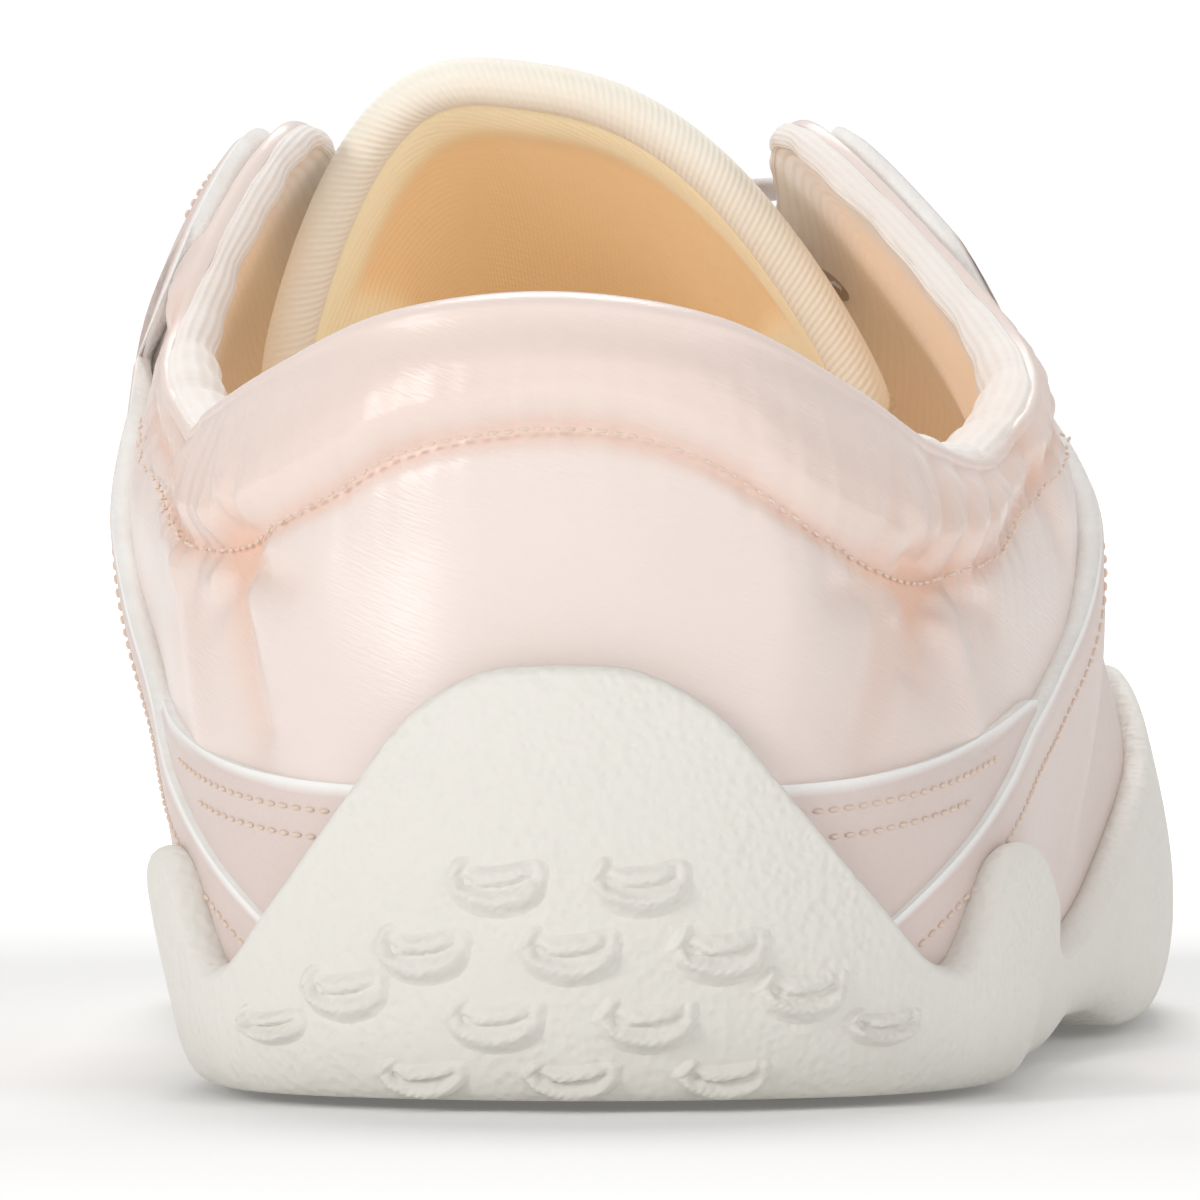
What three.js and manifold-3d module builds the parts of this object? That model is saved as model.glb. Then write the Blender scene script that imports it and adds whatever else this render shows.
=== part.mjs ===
// A low ballet sneaker for the right foot: a satin upper with a padded collar, leather overlays,
// a padded tongue and a moulded rubber cup sole that climbs the heel, the ball and the toe in waves.
// Millimetres, +Z up, +Y towards the toe, +X towards the outer side of the foot, sole on z = 0.
import * as THREE from "three";
import { mergeVertices } from "three/addons/utils/BufferGeometryUtils.js";
import Module from "manifold-3d";

const wasm = await Module();
wasm.setup();

// Driving dimensions of the last and of the shoe on it
const LAST_LENGTH = 240;
const BALL_WIDTH = 79;
const INSTEP_HEIGHT = 79;
const HEEL_CURVE = 4.5;
const TOE_SPRING = 9;
const SPRING_START = 185;
const SPRING_POWER = 1.8;
const ARCH_LIFT = 2;
const ARCH = { from: 80, rises: 98, falls: 112, to: 128 };

// Thicknesses and gaps
const LUG_HEIGHT = 0.9;
const SOLE_FLOOR = 5;
const SOLE_WALL = 2.6;
const SOLE_LIP = 2;
const UPPER_WALL = 2;
const LEATHER = 1.2;
const INSOLE = 3;
const TONGUE_THICK = 3.6;
const TONGUE_ROLL = 1.4;
const LACE_THICK = 1.2;
const LACE_WIDTH = 6;
const GAP = 0.3;
const CURVED_GAP = 0.42;
const SOLE_REST = SOLE_FLOOR + GAP;
const WALL_OVER_LEATHER = LEATHER + 2 * CURVED_GAP;

// Materials
const rubber = new THREE.MeshStandardMaterial({ color: 0xe6e4d9, roughness: 0.7 });
const satin = new THREE.MeshStandardMaterial({ color: 0xf6e3da, roughness: 0.35 });
const leather = new THREE.MeshStandardMaterial({ color: 0xe6d6cd, roughness: 0.6 });
const knit = new THREE.MeshStandardMaterial({ color: 0xf5e9d6, roughness: 0.9 });
const foam = new THREE.MeshStandardMaterial({ color: 0xe9cfa6, roughness: 0.95 });
const ribbon = new THREE.MeshStandardMaterial({ color: 0xf1eaf0, roughness: 0.4 });

// The upper hangs on ribs, numbered from the heel to the toe, from a foot on the sole to an end on the rim.
// One row for each rib's foot: at is in % of the last's length, inner and outer in % of the ball width,
// and rise and swell, in mm, shape the rib just above its foot.
const FEET = [
  { at: 0, inner: 0, outer: 0, rise: 20, swell: 3 },
  { at: 1.5, inner: 18, outer: 18, rise: 20, swell: 3 },
  { at: 5.2, inner: 30.5, outer: 31, rise: 18, swell: 3 },
  { at: 11.9, inner: 36, outer: 38, rise: 16, swell: 4 },
  { at: 20.6, inner: 36, outer: 38.6, rise: 15, swell: 5 },
  { at: 31.3, inner: 35, outer: 40.2, rise: 17, swell: 6 },
  { at: 43, inner: 37, outer: 44.5, rise: 20, swell: 5 },
  { at: 54.5, inner: 42, outer: 50, rise: 18, swell: 4 },
  { at: 65.6, inner: 48, outer: 51, rise: 16, swell: 3.5 },
  { at: 75.8, inner: 51, outer: 49, rise: 15, swell: 3 },
  { at: 85, inner: 49, outer: 43, rise: 16, swell: 3 },
  { at: 92.6, inner: 41, outer: 32.5, rise: 19, swell: 3 },
  { at: 97.8, inner: 27, outer: 15, rise: 23, swell: 3 },
  { at: 100, inner: 8.5, outer: -8.5, rise: 24, swell: 3 },
];

// One row for each rib's end on the collar or the throat: at is in % of the last's length, half in % of the
// ball width and height in % of the instep. cone is how far the rim leans to the inner side and lift how much
// higher it is there, and drop and flare, in mm, shape the rib just below its end.
const RIMS = [
  { at: 1.8, half: 0, height: 78.5, cone: 1.6, lift: 0, drop: 20, flare: 4 },
  { at: 2.7, half: 16.5, height: 76, cone: 1.6, lift: 0.6, drop: 18, flare: 4 },
  { at: 6.3, half: 28.5, height: 69.6, cone: 1.6, lift: 1.6, drop: 15, flare: 4 },
  { at: 12.3, half: 36, height: 64, cone: 1.8, lift: 2.6, drop: 13, flare: 4.5 },
  { at: 19.2, half: 41, height: 63, cone: 1, lift: 2, drop: 13, flare: 6 },
  { at: 26.6, half: 44.3, height: 74.5, cone: 1.5, lift: 1, drop: 16, flare: 9 },
  { at: 34.2, half: 28.6, height: 98.5, cone: 6.3, lift: 0, drop: 19, flare: 18 },
  { at: 43.9, half: 24.6, height: 91, cone: 6, lift: 0, drop: 14, flare: 20 },
  { at: 52.6, half: 18.5, height: 79, cone: 5.5, lift: 0, drop: 9, flare: 20 },
  { at: 60.2, half: 15.2, height: 69.6, cone: 4.5, lift: 0, drop: 6, flare: 24 },
  { at: 65.2, half: 11.5, height: 63.9, cone: 4, lift: 0, drop: 6, flare: 29 },
  { at: 67.8, half: 7, height: 61, cone: 3.5, lift: 0, drop: 6, flare: 34 },
  { at: 68.8, half: 3.2, height: 60, cone: 3.2, lift: 0, drop: 6, flare: 38 },
  { at: 69, half: 0, height: 59.6, cone: 3, lift: 0, drop: 6, flare: 40 },
];
const TOE_RIB = FEET.length - 1;
const ALL_RIBS = 2 * TOE_RIB;

// Crests and troughs of the sole's upper edge, by rib and height in mm
const WAVES = [
  { rib: 0, height: 34.3 },
  { rib: 0.4, height: 33.6 },
  { rib: 0.7, height: 30.8 },
  { rib: 1.05, height: 24.4 },
  { rib: 1.5, height: 16.9 },
  { rib: 1.95, height: 11.4 },
  { rib: 2.15, height: 11.2 },
  { rib: 2.55, height: 18.8 },
  { rib: 2.85, height: 20 },
  { rib: 3.3, height: 17 },
  { rib: 4.3, height: 12 },
  { rib: 5.7, height: 13.2 },
  { rib: 6.7, height: 22 },
  { rib: 7.6, height: 29.6 },
  { rib: 8.5, height: 29.6 },
  { rib: 10.6, height: 18 },
  { rib: TOE_RIB, height: 25 },
];

// Sections of the tongue, from under the vamp to its rolled top, in mm.
// half is its half width, drop how far its edges lie below its crown, middle where it lies across the shoe,
// and lean how far the crown leans from there to the inner side.
const TONGUE_SECTIONS = [
  { at: 178, half: 14, crown: 43.2, drop: 4, middle: -3.5, lean: 0 },
  { at: 160, half: 16.5, crown: 47.2, drop: 6.5, middle: -4, lean: 0.5 },
  { at: 140, half: 19, crown: 55, drop: 10, middle: -4.6, lean: 1 },
  { at: 121, half: 19, crown: 65, drop: 13, middle: -4, lean: 2 },
  { at: 105, half: 21, crown: 75, drop: 17.5, middle: -3.6, lean: 3 },
  { at: 92, half: 27.6, crown: 83.4, drop: 29, middle: -4.6, lean: 3.8 },
];
const TONGUE_ROUND = 2.65;
const TONGUE_TILT = 3.6;

// Ribs of the throat at which the lace holes lie, from the wings forward, and their size.
const EYELET_RIBS = [7.15, 7.75, 8.35, 8.95, 9.6];
const EYELET_RADIUS = 2;
const EYELET_FROM_RIM = 6;

// Arrangement of the crescent lugs on the heel's back and under the sole
const LUG_CHORD = 8.6;
const LUG_BELLY = 3.3;
const LUG_HORN = 0.9;
const LUG_SUNK = 1.6;

// Rows of lugs up the heel's back: how many, the height, how far apart, and how much higher the end ones lie
const BACK_ROWS = [
  { count: 2, height: 18, pitch: 11, ends: 0 },
  { count: 3, height: 12.7, pitch: 11.4, ends: 0 },
  { count: 4, height: 7.3, pitch: 11.8, ends: 2.2 },
  { count: 5, height: 2.9, pitch: 12, ends: 3.8 },
];

const lerp = THREE.MathUtils.lerp;
const clamp = THREE.MathUtils.clamp;
const smooth = THREE.MathUtils.smoothstep;
const up = new THREE.Vector3(0, 0, 1);

// Height of the ground side of the sole above a flat floor: only the toe springs up.
function spring(y) {
  const past = Math.max(0, y - SPRING_START) / (LAST_LENGTH + HEEL_CURVE - SPRING_START);
  return TOE_SPRING * past ** SPRING_POWER;
}

// Rib number i of the whole ring, which runs up the outer side to the toe and back along the inner side
function ribOf(i) {
  const turn = (i + ALL_RIBS) % ALL_RIBS;
  return turn > TOE_RIB ? { row: ALL_RIBS - turn, side: -1 } : { row: turn, side: 1 };
}

function footPoint(i) {
  const { row, side } = ribOf(i);
  const { at, inner, outer } = FEET[row];
  const y = HEEL_CURVE + (at / 100) * LAST_LENGTH;
  const reach = (side < 0 ? inner : outer) / 100;
  return new THREE.Vector3(side * reach * BALL_WIDTH, y, SOLE_REST + spring(y));
}

function rimPoint(i) {
  const { row, side } = ribOf(i);
  const { at, half, height, cone, lift } = RIMS[row];
  return new THREE.Vector3(
    (side * half * BALL_WIDTH) / 100 - cone,
    HEEL_CURVE + (at / 100) * LAST_LENGTH,
    (height / 100) * INSTEP_HEIGHT + (side < 0 ? lift : 0),
  );
}

// Direction in plan that points straight out of the ring of feet at rib i
function outwardAt(i) {
  const along = footPoint(i + 1).sub(footPoint(i - 1)).setZ(0).normalize();
  return new THREE.Vector3(along.y, -along.x, 0);
}

function lowHandle(i) {
  const { rise, swell } = FEET[ribOf(i).row];
  return footPoint(i).addScaledVector(outwardAt(i), swell).addScaledVector(up, rise);
}

function highHandle(i) {
  const { drop, flare } = RIMS[ribOf(i).row];
  return rimPoint(i).addScaledVector(outwardAt(i), flare).addScaledVector(up, -drop);
}

function ringCurve(pointOf) {
  const points = Array.from({ length: ALL_RIBS }, (_, i) => pointOf(i));
  return new THREE.CatmullRomCurve3(points, true, "catmullrom", 0.5);
}

const rings = [footPoint, lowHandle, highHandle, rimPoint].map(ringCurve);

function onRing(curve, rib) {
  return curve.getPoint((((rib / ALL_RIBS) % 1) + 1) % 1);
}

const footOf = (rib) => onRing(rings[0], rib);
const restHeight = (rib) => SOLE_REST + spring(footOf(rib).y);

// Ribs away from the heel, on either side.
function fromHeel(rib) {
  const turn = ((rib % ALL_RIBS) + ALL_RIBS) % ALL_RIBS;
  return Math.min(turn, ALL_RIBS - turn);
}

// Bare form of the upper: each rib is a cubic curve from the sole, v = 0, to the rim, v = 1.
function lastPoint(rib, v) {
  const [foot, low, high, rim] = rings.map((curve) => onRing(curve, rib));
  const w = 1 - v;
  return foot
    .multiplyScalar(w ** 3)
    .addScaledVector(low, 3 * v * w * w)
    .addScaledVector(high, 3 * v * v * w)
    .addScaledVector(rim, v ** 3);
}

function lastNormal(rib, v) {
  const step = 0.01;
  const around = lastPoint(rib + step, v).sub(lastPoint(rib - step, v));
  const rising = lastPoint(rib, Math.min(1, v + step)).sub(lastPoint(rib, Math.max(0, v - step)));
  return around.cross(rising).normalize();
}

// Padding of the collar: full round the ankle, thinner up the wings, none along the throat.
const PAD_OUT = 1.5;
const PAD_IN = 2.8;
const WING_PAD = 0.25;
const PAD_THINS = { from: 4.4, to: 5.5 };
const PAD_ENDS = { from: 6.4, to: 7.6 };
const PAD_RISE = { from: 0.66, to: 0.86 };

function padding(rib, v) {
  const away = fromHeel(rib);
  const thinned = (1 - WING_PAD) * smooth(away, PAD_THINS.from, PAD_THINS.to);
  const ended = WING_PAD * smooth(away, PAD_ENDS.from, PAD_ENDS.to);
  return (1 - thinned - ended) * smooth(v, PAD_RISE.from, PAD_RISE.to);
}

function upperOutside(rib, v, lift = 0) {
  return lastPoint(rib, v).addScaledVector(lastNormal(rib, v), PAD_OUT * padding(rib, v) + lift);
}

function upperInside(rib, v) {
  return lastPoint(rib, v).addScaledVector(lastNormal(rib, v), -UPPER_WALL - PAD_IN * padding(rib, v));
}

// How far up a rib, as v, its surface reaches the height z.
function riseTo(rib, z) {
  let low = 0;
  let high = 0.9;
  for (let i = 0; i < 24; i++) {
    const middle = (low + high) / 2;
    if (lastPoint(rib, middle).z < z) low = middle;
    else high = middle;
  }
  return (low + high) / 2;
}

// A closed solid from rows of points, each of which closes on itself. A tube's last row joins its first.
function solidFromGrid(grid, tube = false) {
  const rows = grid.length;
  const count = grid[0].length;
  const index = [];
  for (let r = 0; r < (tube ? rows : rows - 1); r++) {
    const [row, nextRow] = [r * count, ((r + 1) % rows) * count];
    for (let p = 0; p < count; p++) {
      const next = (p + 1) % count;
      index.push(row + p, row + next, nextRow + next);
      index.push(row + p, nextRow + next, nextRow + p);
    }
  }
  const geometry = new THREE.BufferGeometry().setFromPoints(grid.flat());
  geometry.setIndex(index);
  return solidFromGeometry(geometry);
}

// Merges equal points, drops the faces that this flattens, turns the rest outwards, and makes a solid.
function solidFromGeometry(geometry) {
  geometry.deleteAttribute("normal");
  geometry.deleteAttribute("uv");
  const merged = mergeVertices(geometry, 1e-3);
  const cornerOf = (v) => new THREE.Vector3().fromBufferAttribute(merged.attributes.position, v);
  const faces = [];
  let volume = 0;
  for (let i = 0; i < merged.index.count; i += 3) {
    const face = [0, 1, 2].map((k) => merged.index.getX(i + k));
    if (new Set(face).size < 3) continue;
    faces.push(face);
    const [a, b, c] = face.map(cornerOf);
    volume += a.dot(b.cross(c));
  }
  const mesh = new wasm.Mesh({
    numProp: 3,
    vertProperties: new Float32Array(merged.attributes.position.array),
    triVerts: new Uint32Array(faces.flatMap((face) => (volume < 0 ? face.reverse() : face))),
  });
  return new wasm.Manifold(mesh);
}

// A row of points that closes a section flat, along its middle line
function closingRow(section) {
  const half = section.length / 2;
  const middle = section.slice(0, half).map((point, p) => point.clone().lerp(section.at(-1 - p), 0.5));
  return [...middle, ...middle.toReversed()];
}

// A solid through sections, closed flat at both ends
function solidThrough(sections) {
  return solidFromGrid([closingRow(sections[0]), ...sections, closingRow(sections.at(-1))]);
}

// A thin solid between two patches, each a grid of rows of points
function solidBetween(outer, inner) {
  return solidThrough(outer.map((line, r) => [...line, ...inner[r].toReversed()]));
}

const shoe = new THREE.Group();

function addPiece(name, solid, material) {
  const made = solid.getMesh();
  const geometry = new THREE.BufferGeometry();
  geometry.setAttribute("position", new THREE.BufferAttribute(made.vertProperties, 3));
  geometry.setIndex(new THREE.BufferAttribute(made.triVerts, 1));
  geometry.computeVertexNormals();
  const mesh = new THREE.Mesh(geometry, material);
  mesh.name = name;
  shoe.add(mesh);
}

// Ribs at which every ring of points is taken: three to a span, two where the sides run nearly straight
const STRAIGHT_SPANS = [4, 7, 8, 9];
const roundRibs = Array.from({ length: ALL_RIBS }, (_, span) => {
  const steps = STRAIGHT_SPANS.includes(Math.min(span, ALL_RIBS - 1 - span)) ? 2 : 3;
  return Array.from({ length: steps }, (__, k) => span + k / steps);
}).flat();

// Place of the lace hole at a rib, a short way below the throat's edge
function eyeletPlace(rib) {
  const rim = lastPoint(rib, 1);
  let v = 1;
  while (lastPoint(rib, v).distanceTo(rim) < EYELET_FROM_RIM) v -= 0.005;
  return { point: lastPoint(rib, v), normal: lastNormal(rib, v) };
}

const EYELET_DEPTH = 14;
const EYELET_SIDES = 6;

function eyeletCutter(rib) {
  const { point, normal } = eyeletPlace(rib);
  const drill = new THREE.CylinderGeometry(EYELET_RADIUS, EYELET_RADIUS, EYELET_DEPTH, EYELET_SIDES);
  drill.applyQuaternion(new THREE.Quaternion().setFromUnitVectors(new THREE.Vector3(0, 1, 0), normal));
  drill.translate(point.x, point.y, point.z);
  return solidFromGeometry(drill);
}

const eyeletsOuter = EYELET_RIBS.map(eyeletCutter);
const eyeletsInner = EYELET_RIBS.map((rib) => eyeletCutter(-rib));

function cutAll(solid, cutters) {
  return cutters.reduce((left, cutter) => left.subtract(cutter), solid);
}

// Upper: one hollow wall, open at the collar, the throat and underneath
const OUTSIDE_STEPS = [0, 0.1, 0.2, 0.3, 0.41, 0.53, 0.65, 0.74, 0.83, 0.92, 1];
const INSIDE_STEPS = [1, 0.86, 0.75, 0.62, 0.36, 0.15, 0];
const outsideRow = (v, lift = 0) => roundRibs.map((rib) => upperOutside(rib, v, lift));

const RIM_ROUNDING = 0.36;

function makeUpper() {
  const grid = OUTSIDE_STEPS.map((v) => outsideRow(v));
  const roll = roundRibs.map((rib) => {
    const middle = upperOutside(rib, 1).lerp(upperInside(rib, 1), 0.5);
    const thick = upperOutside(rib, 1).distanceTo(upperInside(rib, 1));
    const rising = lastPoint(rib, 1).sub(lastPoint(rib, 0.98)).normalize();
    return middle.addScaledVector(rising, RIM_ROUNDING * thick);
  });
  grid.push(roll);
  for (const v of INSIDE_STEPS) {
    grid.push(roundRibs.map((rib) => upperInside(rib, v)));
  }
  for (const row of [grid[0], grid.at(-1)]) {
    for (const point of row) point.z = SOLE_REST + spring(point.y);
  }
  return cutAll(solidFromGrid(grid, true), [...eyeletsOuter, ...eyeletsInner]);
}

// Height at a rib on a smooth curve through the rows of a table
function cutHeight(table, rib) {
  const away = clamp(fromHeel(rib), table[0].rib, table.at(-1).rib);
  const next = Math.max(1, table.findIndex((row) => row.rib >= away));
  const slopes = table.map((row, i) => {
    const [before, after] = [table[Math.max(0, i - 1)], table[Math.min(table.length - 1, i + 1)]];
    return (after.height - before.height) / (after.rib - before.rib);
  });
  const [from, to] = [table[next - 1], table[next]];
  const span = to.rib - from.rib;
  const t = (away - from.rib) / span;
  const start = (1 + 2 * t) * from.height + t * span * slopes[next - 1];
  const end = (3 - 2 * t) * to.height - (1 - t) * span * slopes[next];
  return start * (1 - t) ** 2 + end * t ** 2;
}

const waveHeight = (rib) => cutHeight(WAVES, rib);

// The middle line of the sole, to which its flat faces close. It stops short of the heel and the toe.
const SPINE_START = HEEL_CURVE + 26;
const SPINE_END = HEEL_CURVE + LAST_LENGTH - 30;

function spineX(y) {
  let rib = 0;
  while (footOf(rib).y < y) rib += 0.01;
  return (footOf(rib).x + footOf(-rib).x) / 2;
}
const spineEnds = { heel: spineX(SPINE_START), toe: spineX(SPINE_END) };

// A point on the way from the middle line to the sole's edge at a rib, on the face of height z(y)
function spinePoint(rib, share, z) {
  const foot = footOf(rib);
  const middle = new THREE.Vector3((foot.x + footOf(-rib).x) / 2, foot.y, 0);
  if (foot.y < SPINE_START) middle.set(spineEnds.heel, SPINE_START, 0);
  if (foot.y > SPINE_END) middle.set(spineEnds.toe, SPINE_END, 0);
  const at = middle.lerp(foot.setZ(0), share);
  return at.setZ(z(at.y));
}

const archRise = (y) => smooth(y, ARCH.from, ARCH.rises) * (1 - smooth(y, ARCH.falls, ARCH.to));
const underside = (y) => LUG_HEIGHT + spring(y) + ARCH_LIFT * archRise(y);
const cupFloor = (y) => SOLE_FLOOR + spring(y);

// Outer face of the sole: its rounded corner from k = 0, at the edge of the flat underside, to k = CORNER,
// and then its wall, up to the lip at k = 1.
const CORNER = 0.36;
const FOOTPRINT_INSET = -2.2;
const CORNER_HEIGHT = 6.5;
const CORNER_FLATNESS = 0.9;
const LIP_ROUNDING = 0.8;

function onWall(rib, z, lift) {
  const v = riseTo(rib, z);
  return lastPoint(rib, v).addScaledVector(lastNormal(rib, v), lift);
}

function soleOutside(rib, k) {
  const foot = footOf(rib);
  const ground = underside(foot.y);
  const wallAt = (share) => {
    const z = lerp(ground + CORNER_HEIGHT, waveHeight(rib) + spring(foot.y) - LIP_ROUNDING, share);
    return onWall(rib, z, WALL_OVER_LEATHER + lerp(SOLE_WALL, SOLE_LIP, smooth(z, 12, 30)));
  };
  if (k >= CORNER) return wallAt((k - CORNER) / (1 - CORNER));
  const out = lastNormal(rib, 0.05).setZ(0).normalize();
  const from = foot.clone().addScaledVector(out, -FOOTPRINT_INSET).setZ(ground);
  const to = wallAt(0);
  const bulge = to.clone().setZ(ground + CORNER_FLATNESS).lerp(from, 0.3);
  const t = k / CORNER;
  return from
    .multiplyScalar((1 - t) ** 2)
    .addScaledVector(bulge, 2 * t * (1 - t))
    .addScaledVector(to, t * t);
}

const SOLE_OUTSIDE_STEPS = [0, 0.18, CORNER, 0.57, 0.78, 1];
const SOLE_INSIDE_STEPS = [0.97, 0.78, 0.57, 0.36, 0.15];

function makeSoleBody() {
  const ring = (pointAt) => roundRibs.map(pointAt);
  const crest = (rib) => waveHeight(rib) + spring(footOf(rib).y);
  const insideAt = (rib, share) => lerp(restHeight(rib) + GAP, crest(rib), share);
  const floorEdge = (rib) => {
    const point = onWall(rib, 0, WALL_OVER_LEATHER);
    return point.setZ(cupFloor(point.y));
  };
  return solidFromGrid([
    ...[0, 0.55].map((share) => ring((rib) => spinePoint(rib, share, underside))),
    ...SOLE_OUTSIDE_STEPS.map((k) => ring((rib) => soleOutside(rib, k))),
    ring((rib) => onWall(rib, crest(rib), WALL_OVER_LEATHER + SOLE_LIP / 2)),
    ...SOLE_INSIDE_STEPS.map((share) => ring((rib) => onWall(rib, insideAt(rib, share), WALL_OVER_LEATHER))),
    ring(floorEdge),
    ...[0.6, 0].map((share) => ring((rib) => spinePoint(rib, share, cupFloor))),
  ]);
}

// A crescent lug, open side up, lying in the XY plane and standing along +Z
function crescentGeometry(scale) {
  const half = (LUG_CHORD * scale) / 2;
  const low = -0.75 * LUG_BELLY * scale;
  const horn = LUG_HORN * scale;
  const outline = new THREE.Shape();
  outline.moveTo(-half, horn);
  outline.quadraticCurveTo(-0.7 * half, low, 0, low);
  outline.quadraticCurveTo(0.7 * half, low, half, horn);
  outline.quadraticCurveTo(0, horn + low / 2, -half, horn);
  const depth = LUG_SUNK + LUG_HEIGHT;
  return new THREE.ExtrudeGeometry(outline, { depth, bevelEnabled: false, curveSegments: 2 });
}

// A lug set into the sole's outer face at point, facing along normal, with its open side towards above
function placedLug(point, normal, above, scale) {
  const side = above.clone().cross(normal).normalize();
  const frame = new THREE.Matrix4().makeBasis(side, normal.clone().cross(side), normal);
  const geometry = crescentGeometry(scale).translate(0, 0, -LUG_SUNK);
  geometry.applyMatrix4(frame).translate(point.x, point.y, point.z);
  return solidFromGeometry(geometry);
}

// A lug on the heel's back, x to the side and z high
function backLug(x, z) {
  const side = Math.sign(x) || 1;
  let rib = 0;
  while (Math.abs(soleOutside(side * rib, CORNER).x) < Math.abs(x)) rib += 0.01;
  let k = 0;
  while (soleOutside(side * rib, k).z < z) k += 0.01;
  const around = soleOutside(side * rib + 0.05, k).sub(soleOutside(side * rib - 0.05, k));
  const rising = soleOutside(side * rib, k + 0.04).sub(soleOutside(side * rib, Math.max(0, k - 0.04)));
  const normal = around.cross(rising).normalize();
  return placedLug(soleOutside(side * rib, k), normal, rising, 1);
}

function makeBackLugs() {
  return BACK_ROWS.flatMap(({ count, height, pitch, ends }) =>
    Array.from({ length: count }, (_, j) => {
      const lifted = j === 0 || j === count - 1 ? ends : 0;
      return backLug((j - (count - 1) / 2) * pitch, height + lifted);
    }),
  );
}

// Rows of crescents under the heel and the forefoot: how far along, and how many across.
const UNDER_ROWS = [
  { at: 24, count: 3 },
  { at: 44, count: 4 },
  { at: 64, count: 3 },
  { at: 132, count: 4 },
  { at: 152, count: 5 },
  { at: 172, count: 4 },
  { at: 192, count: 5 },
  { at: 212, count: 4 },
];
const UNDER_PITCH = 14;
const UNDER_SCALE = 1.25;

function makeUnderLugs() {
  return UNDER_ROWS.flatMap(({ at, count }) => {
    const slope = (underside(at + 1) - underside(at - 1)) / 2;
    const normal = new THREE.Vector3(0, slope, -1).normalize();
    return Array.from({ length: count }, (_, j) => {
      const x = spineX(at) + (j - (count - 1) / 2) * UNDER_PITCH;
      const point = new THREE.Vector3(x, at, underside(at));
      return placedLug(point, normal, new THREE.Vector3(0, 1, 0), UNDER_SCALE);
    });
  });
}

function makeOutsole() {
  const lugs = [...makeBackLugs(), ...makeUnderLugs()];
  return lugs.reduce((whole, lug) => whole.add(lug), makeSoleBody());
}

// Insole: a flat board of foam on the cup's floor, inside the foot of the upper
const INSOLE_INSET = UPPER_WALL + GAP + 0.5;

function makeInsole() {
  const ribs = roundRibs.filter((_, i) => i % 2 === 0);
  const level = (lift) => (y) => SOLE_REST + spring(y) + lift;
  const edge = (rib, lift) => {
    const out = lastNormal(rib, 0.05).setZ(0).normalize();
    const point = footOf(rib).addScaledVector(out, -INSOLE_INSET);
    return point.setZ(level(lift)(point.y));
  };
  return solidFromGrid([
    ribs.map((rib) => spinePoint(rib, 0, level(0))),
    ribs.map((rib) => edge(rib, 0)),
    ribs.map((rib) => edge(rib, INSOLE)),
    ribs.map((rib) => spinePoint(rib, 0, level(INSOLE))),
  ]);
}

// Leather overlay over the given ribs. range gives the lowest and highest v that it reaches at a rib.
// It lies clear of the upper facet on facet, for which its ribs run downwards.
function overlay(ribs, range) {
  const ordered = ribs.toSorted((a, b) => b - a);
  const patch = (lift) =>
    ordered.map((rib) => {
      const [low, high] = range(rib);
      return OUTSIDE_STEPS.map((v) => upperOutside(rib, clamp(v, low, high), lift));
    });
  return solidBetween(patch(CURVED_GAP + LEATHER), patch(CURVED_GAP)).subtract(keptClear);
}

// The room that the upper takes, with the gap round it
const keptClear = solidFromGrid(
  [
    ...OUTSIDE_STEPS.map((v) => outsideRow(v, GAP)),
    ...OUTSIDE_STEPS.toReversed().map((v) => outsideRow(v, -UPPER_WALL)),
  ],
  true,
);

const LEATHER_TUCK = 3.5;
const tuckedIn = (rib) => riseTo(rib, restHeight(rib) + LEATHER_TUCK);
const ribsBetween = (from, to) => [from, ...roundRibs.filter((rib) => rib > from && rib < to), to];

// Saddle: from the heel to the toe on each side, up to the throat. Its back edge sweeps up and forward.
const SADDLE_BACK = [
  { rib: 1.55, height: 12.5 },
  { rib: 2.1, height: 17.4 },
  { rib: 2.75, height: 22.8 },
  { rib: 3.4, height: 28 },
  { rib: 4.1, height: 33 },
  { rib: 4.6, height: 39 },
  { rib: 5, height: 46.5 },
  { rib: 5.5, height: 56 },
];
const SADDLE_FRONT = { low: 7.4, high: 11.6, bend: 0.85 };
const SADDLE_TOP = 0.975;

// Lowest v of the saddle: tucked in at the sole, and from there up along its front edge
function saddleLow(rib) {
  const away = fromHeel(rib);
  const along = clamp((away - SADDLE_FRONT.low) / (SADDLE_FRONT.high - SADDLE_FRONT.low), 0, 1);
  return lerp(tuckedIn(rib), SADDLE_TOP, along ** SADDLE_FRONT.bend);
}

function makeSaddle(side) {
  const range = (rib) => {
    const away = fromHeel(rib);
    const rear = away < SADDLE_BACK.at(-1).rib ? riseTo(rib, cutHeight(SADDLE_BACK, rib)) : SADDLE_TOP;
    return [saddleLow(rib), Math.max(saddleLow(rib), rear)];
  };
  const ribs = ribsBetween(SADDLE_BACK[0].rib + 0.15, SADDLE_FRONT.high).map((rib) => side * rib);
  return cutAll(overlay(ribs, range), side > 0 ? eyeletsOuter : eyeletsInner);
}

// Heel leather, behind the back edges of the saddles and under the rubber heel tab
const HEEL_LEATHER_TOP = [
  { rib: 0, height: 25 },
  { rib: 1.5, height: 25.6 },
  { rib: 3.7, height: 31 },
];
const HEEL_LEATHER_END = 3.7;

function makeHeelLeather() {
  const range = (rib) => {
    const behind = fromHeel(rib) > SADDLE_BACK[0].rib ? cutHeight(SADDLE_BACK, rib) + 3 * GAP : 0;
    return [Math.max(tuckedIn(rib), riseTo(rib, behind)), riseTo(rib, cutHeight(HEEL_LEATHER_TOP, rib))];
  };
  const half = ribsBetween(0, HEEL_LEATHER_END);
  return overlay([...half.slice(1), ...half.map((rib) => -rib)], range);
}

// Toe leather: a rand round the front, under the rubber edge, that fills the wedges below the saddles
const TOE_RAND_START = 8;
const TOE_RAND_RISE = 27;
const TOE_RAND_APART = 0.02;

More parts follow.
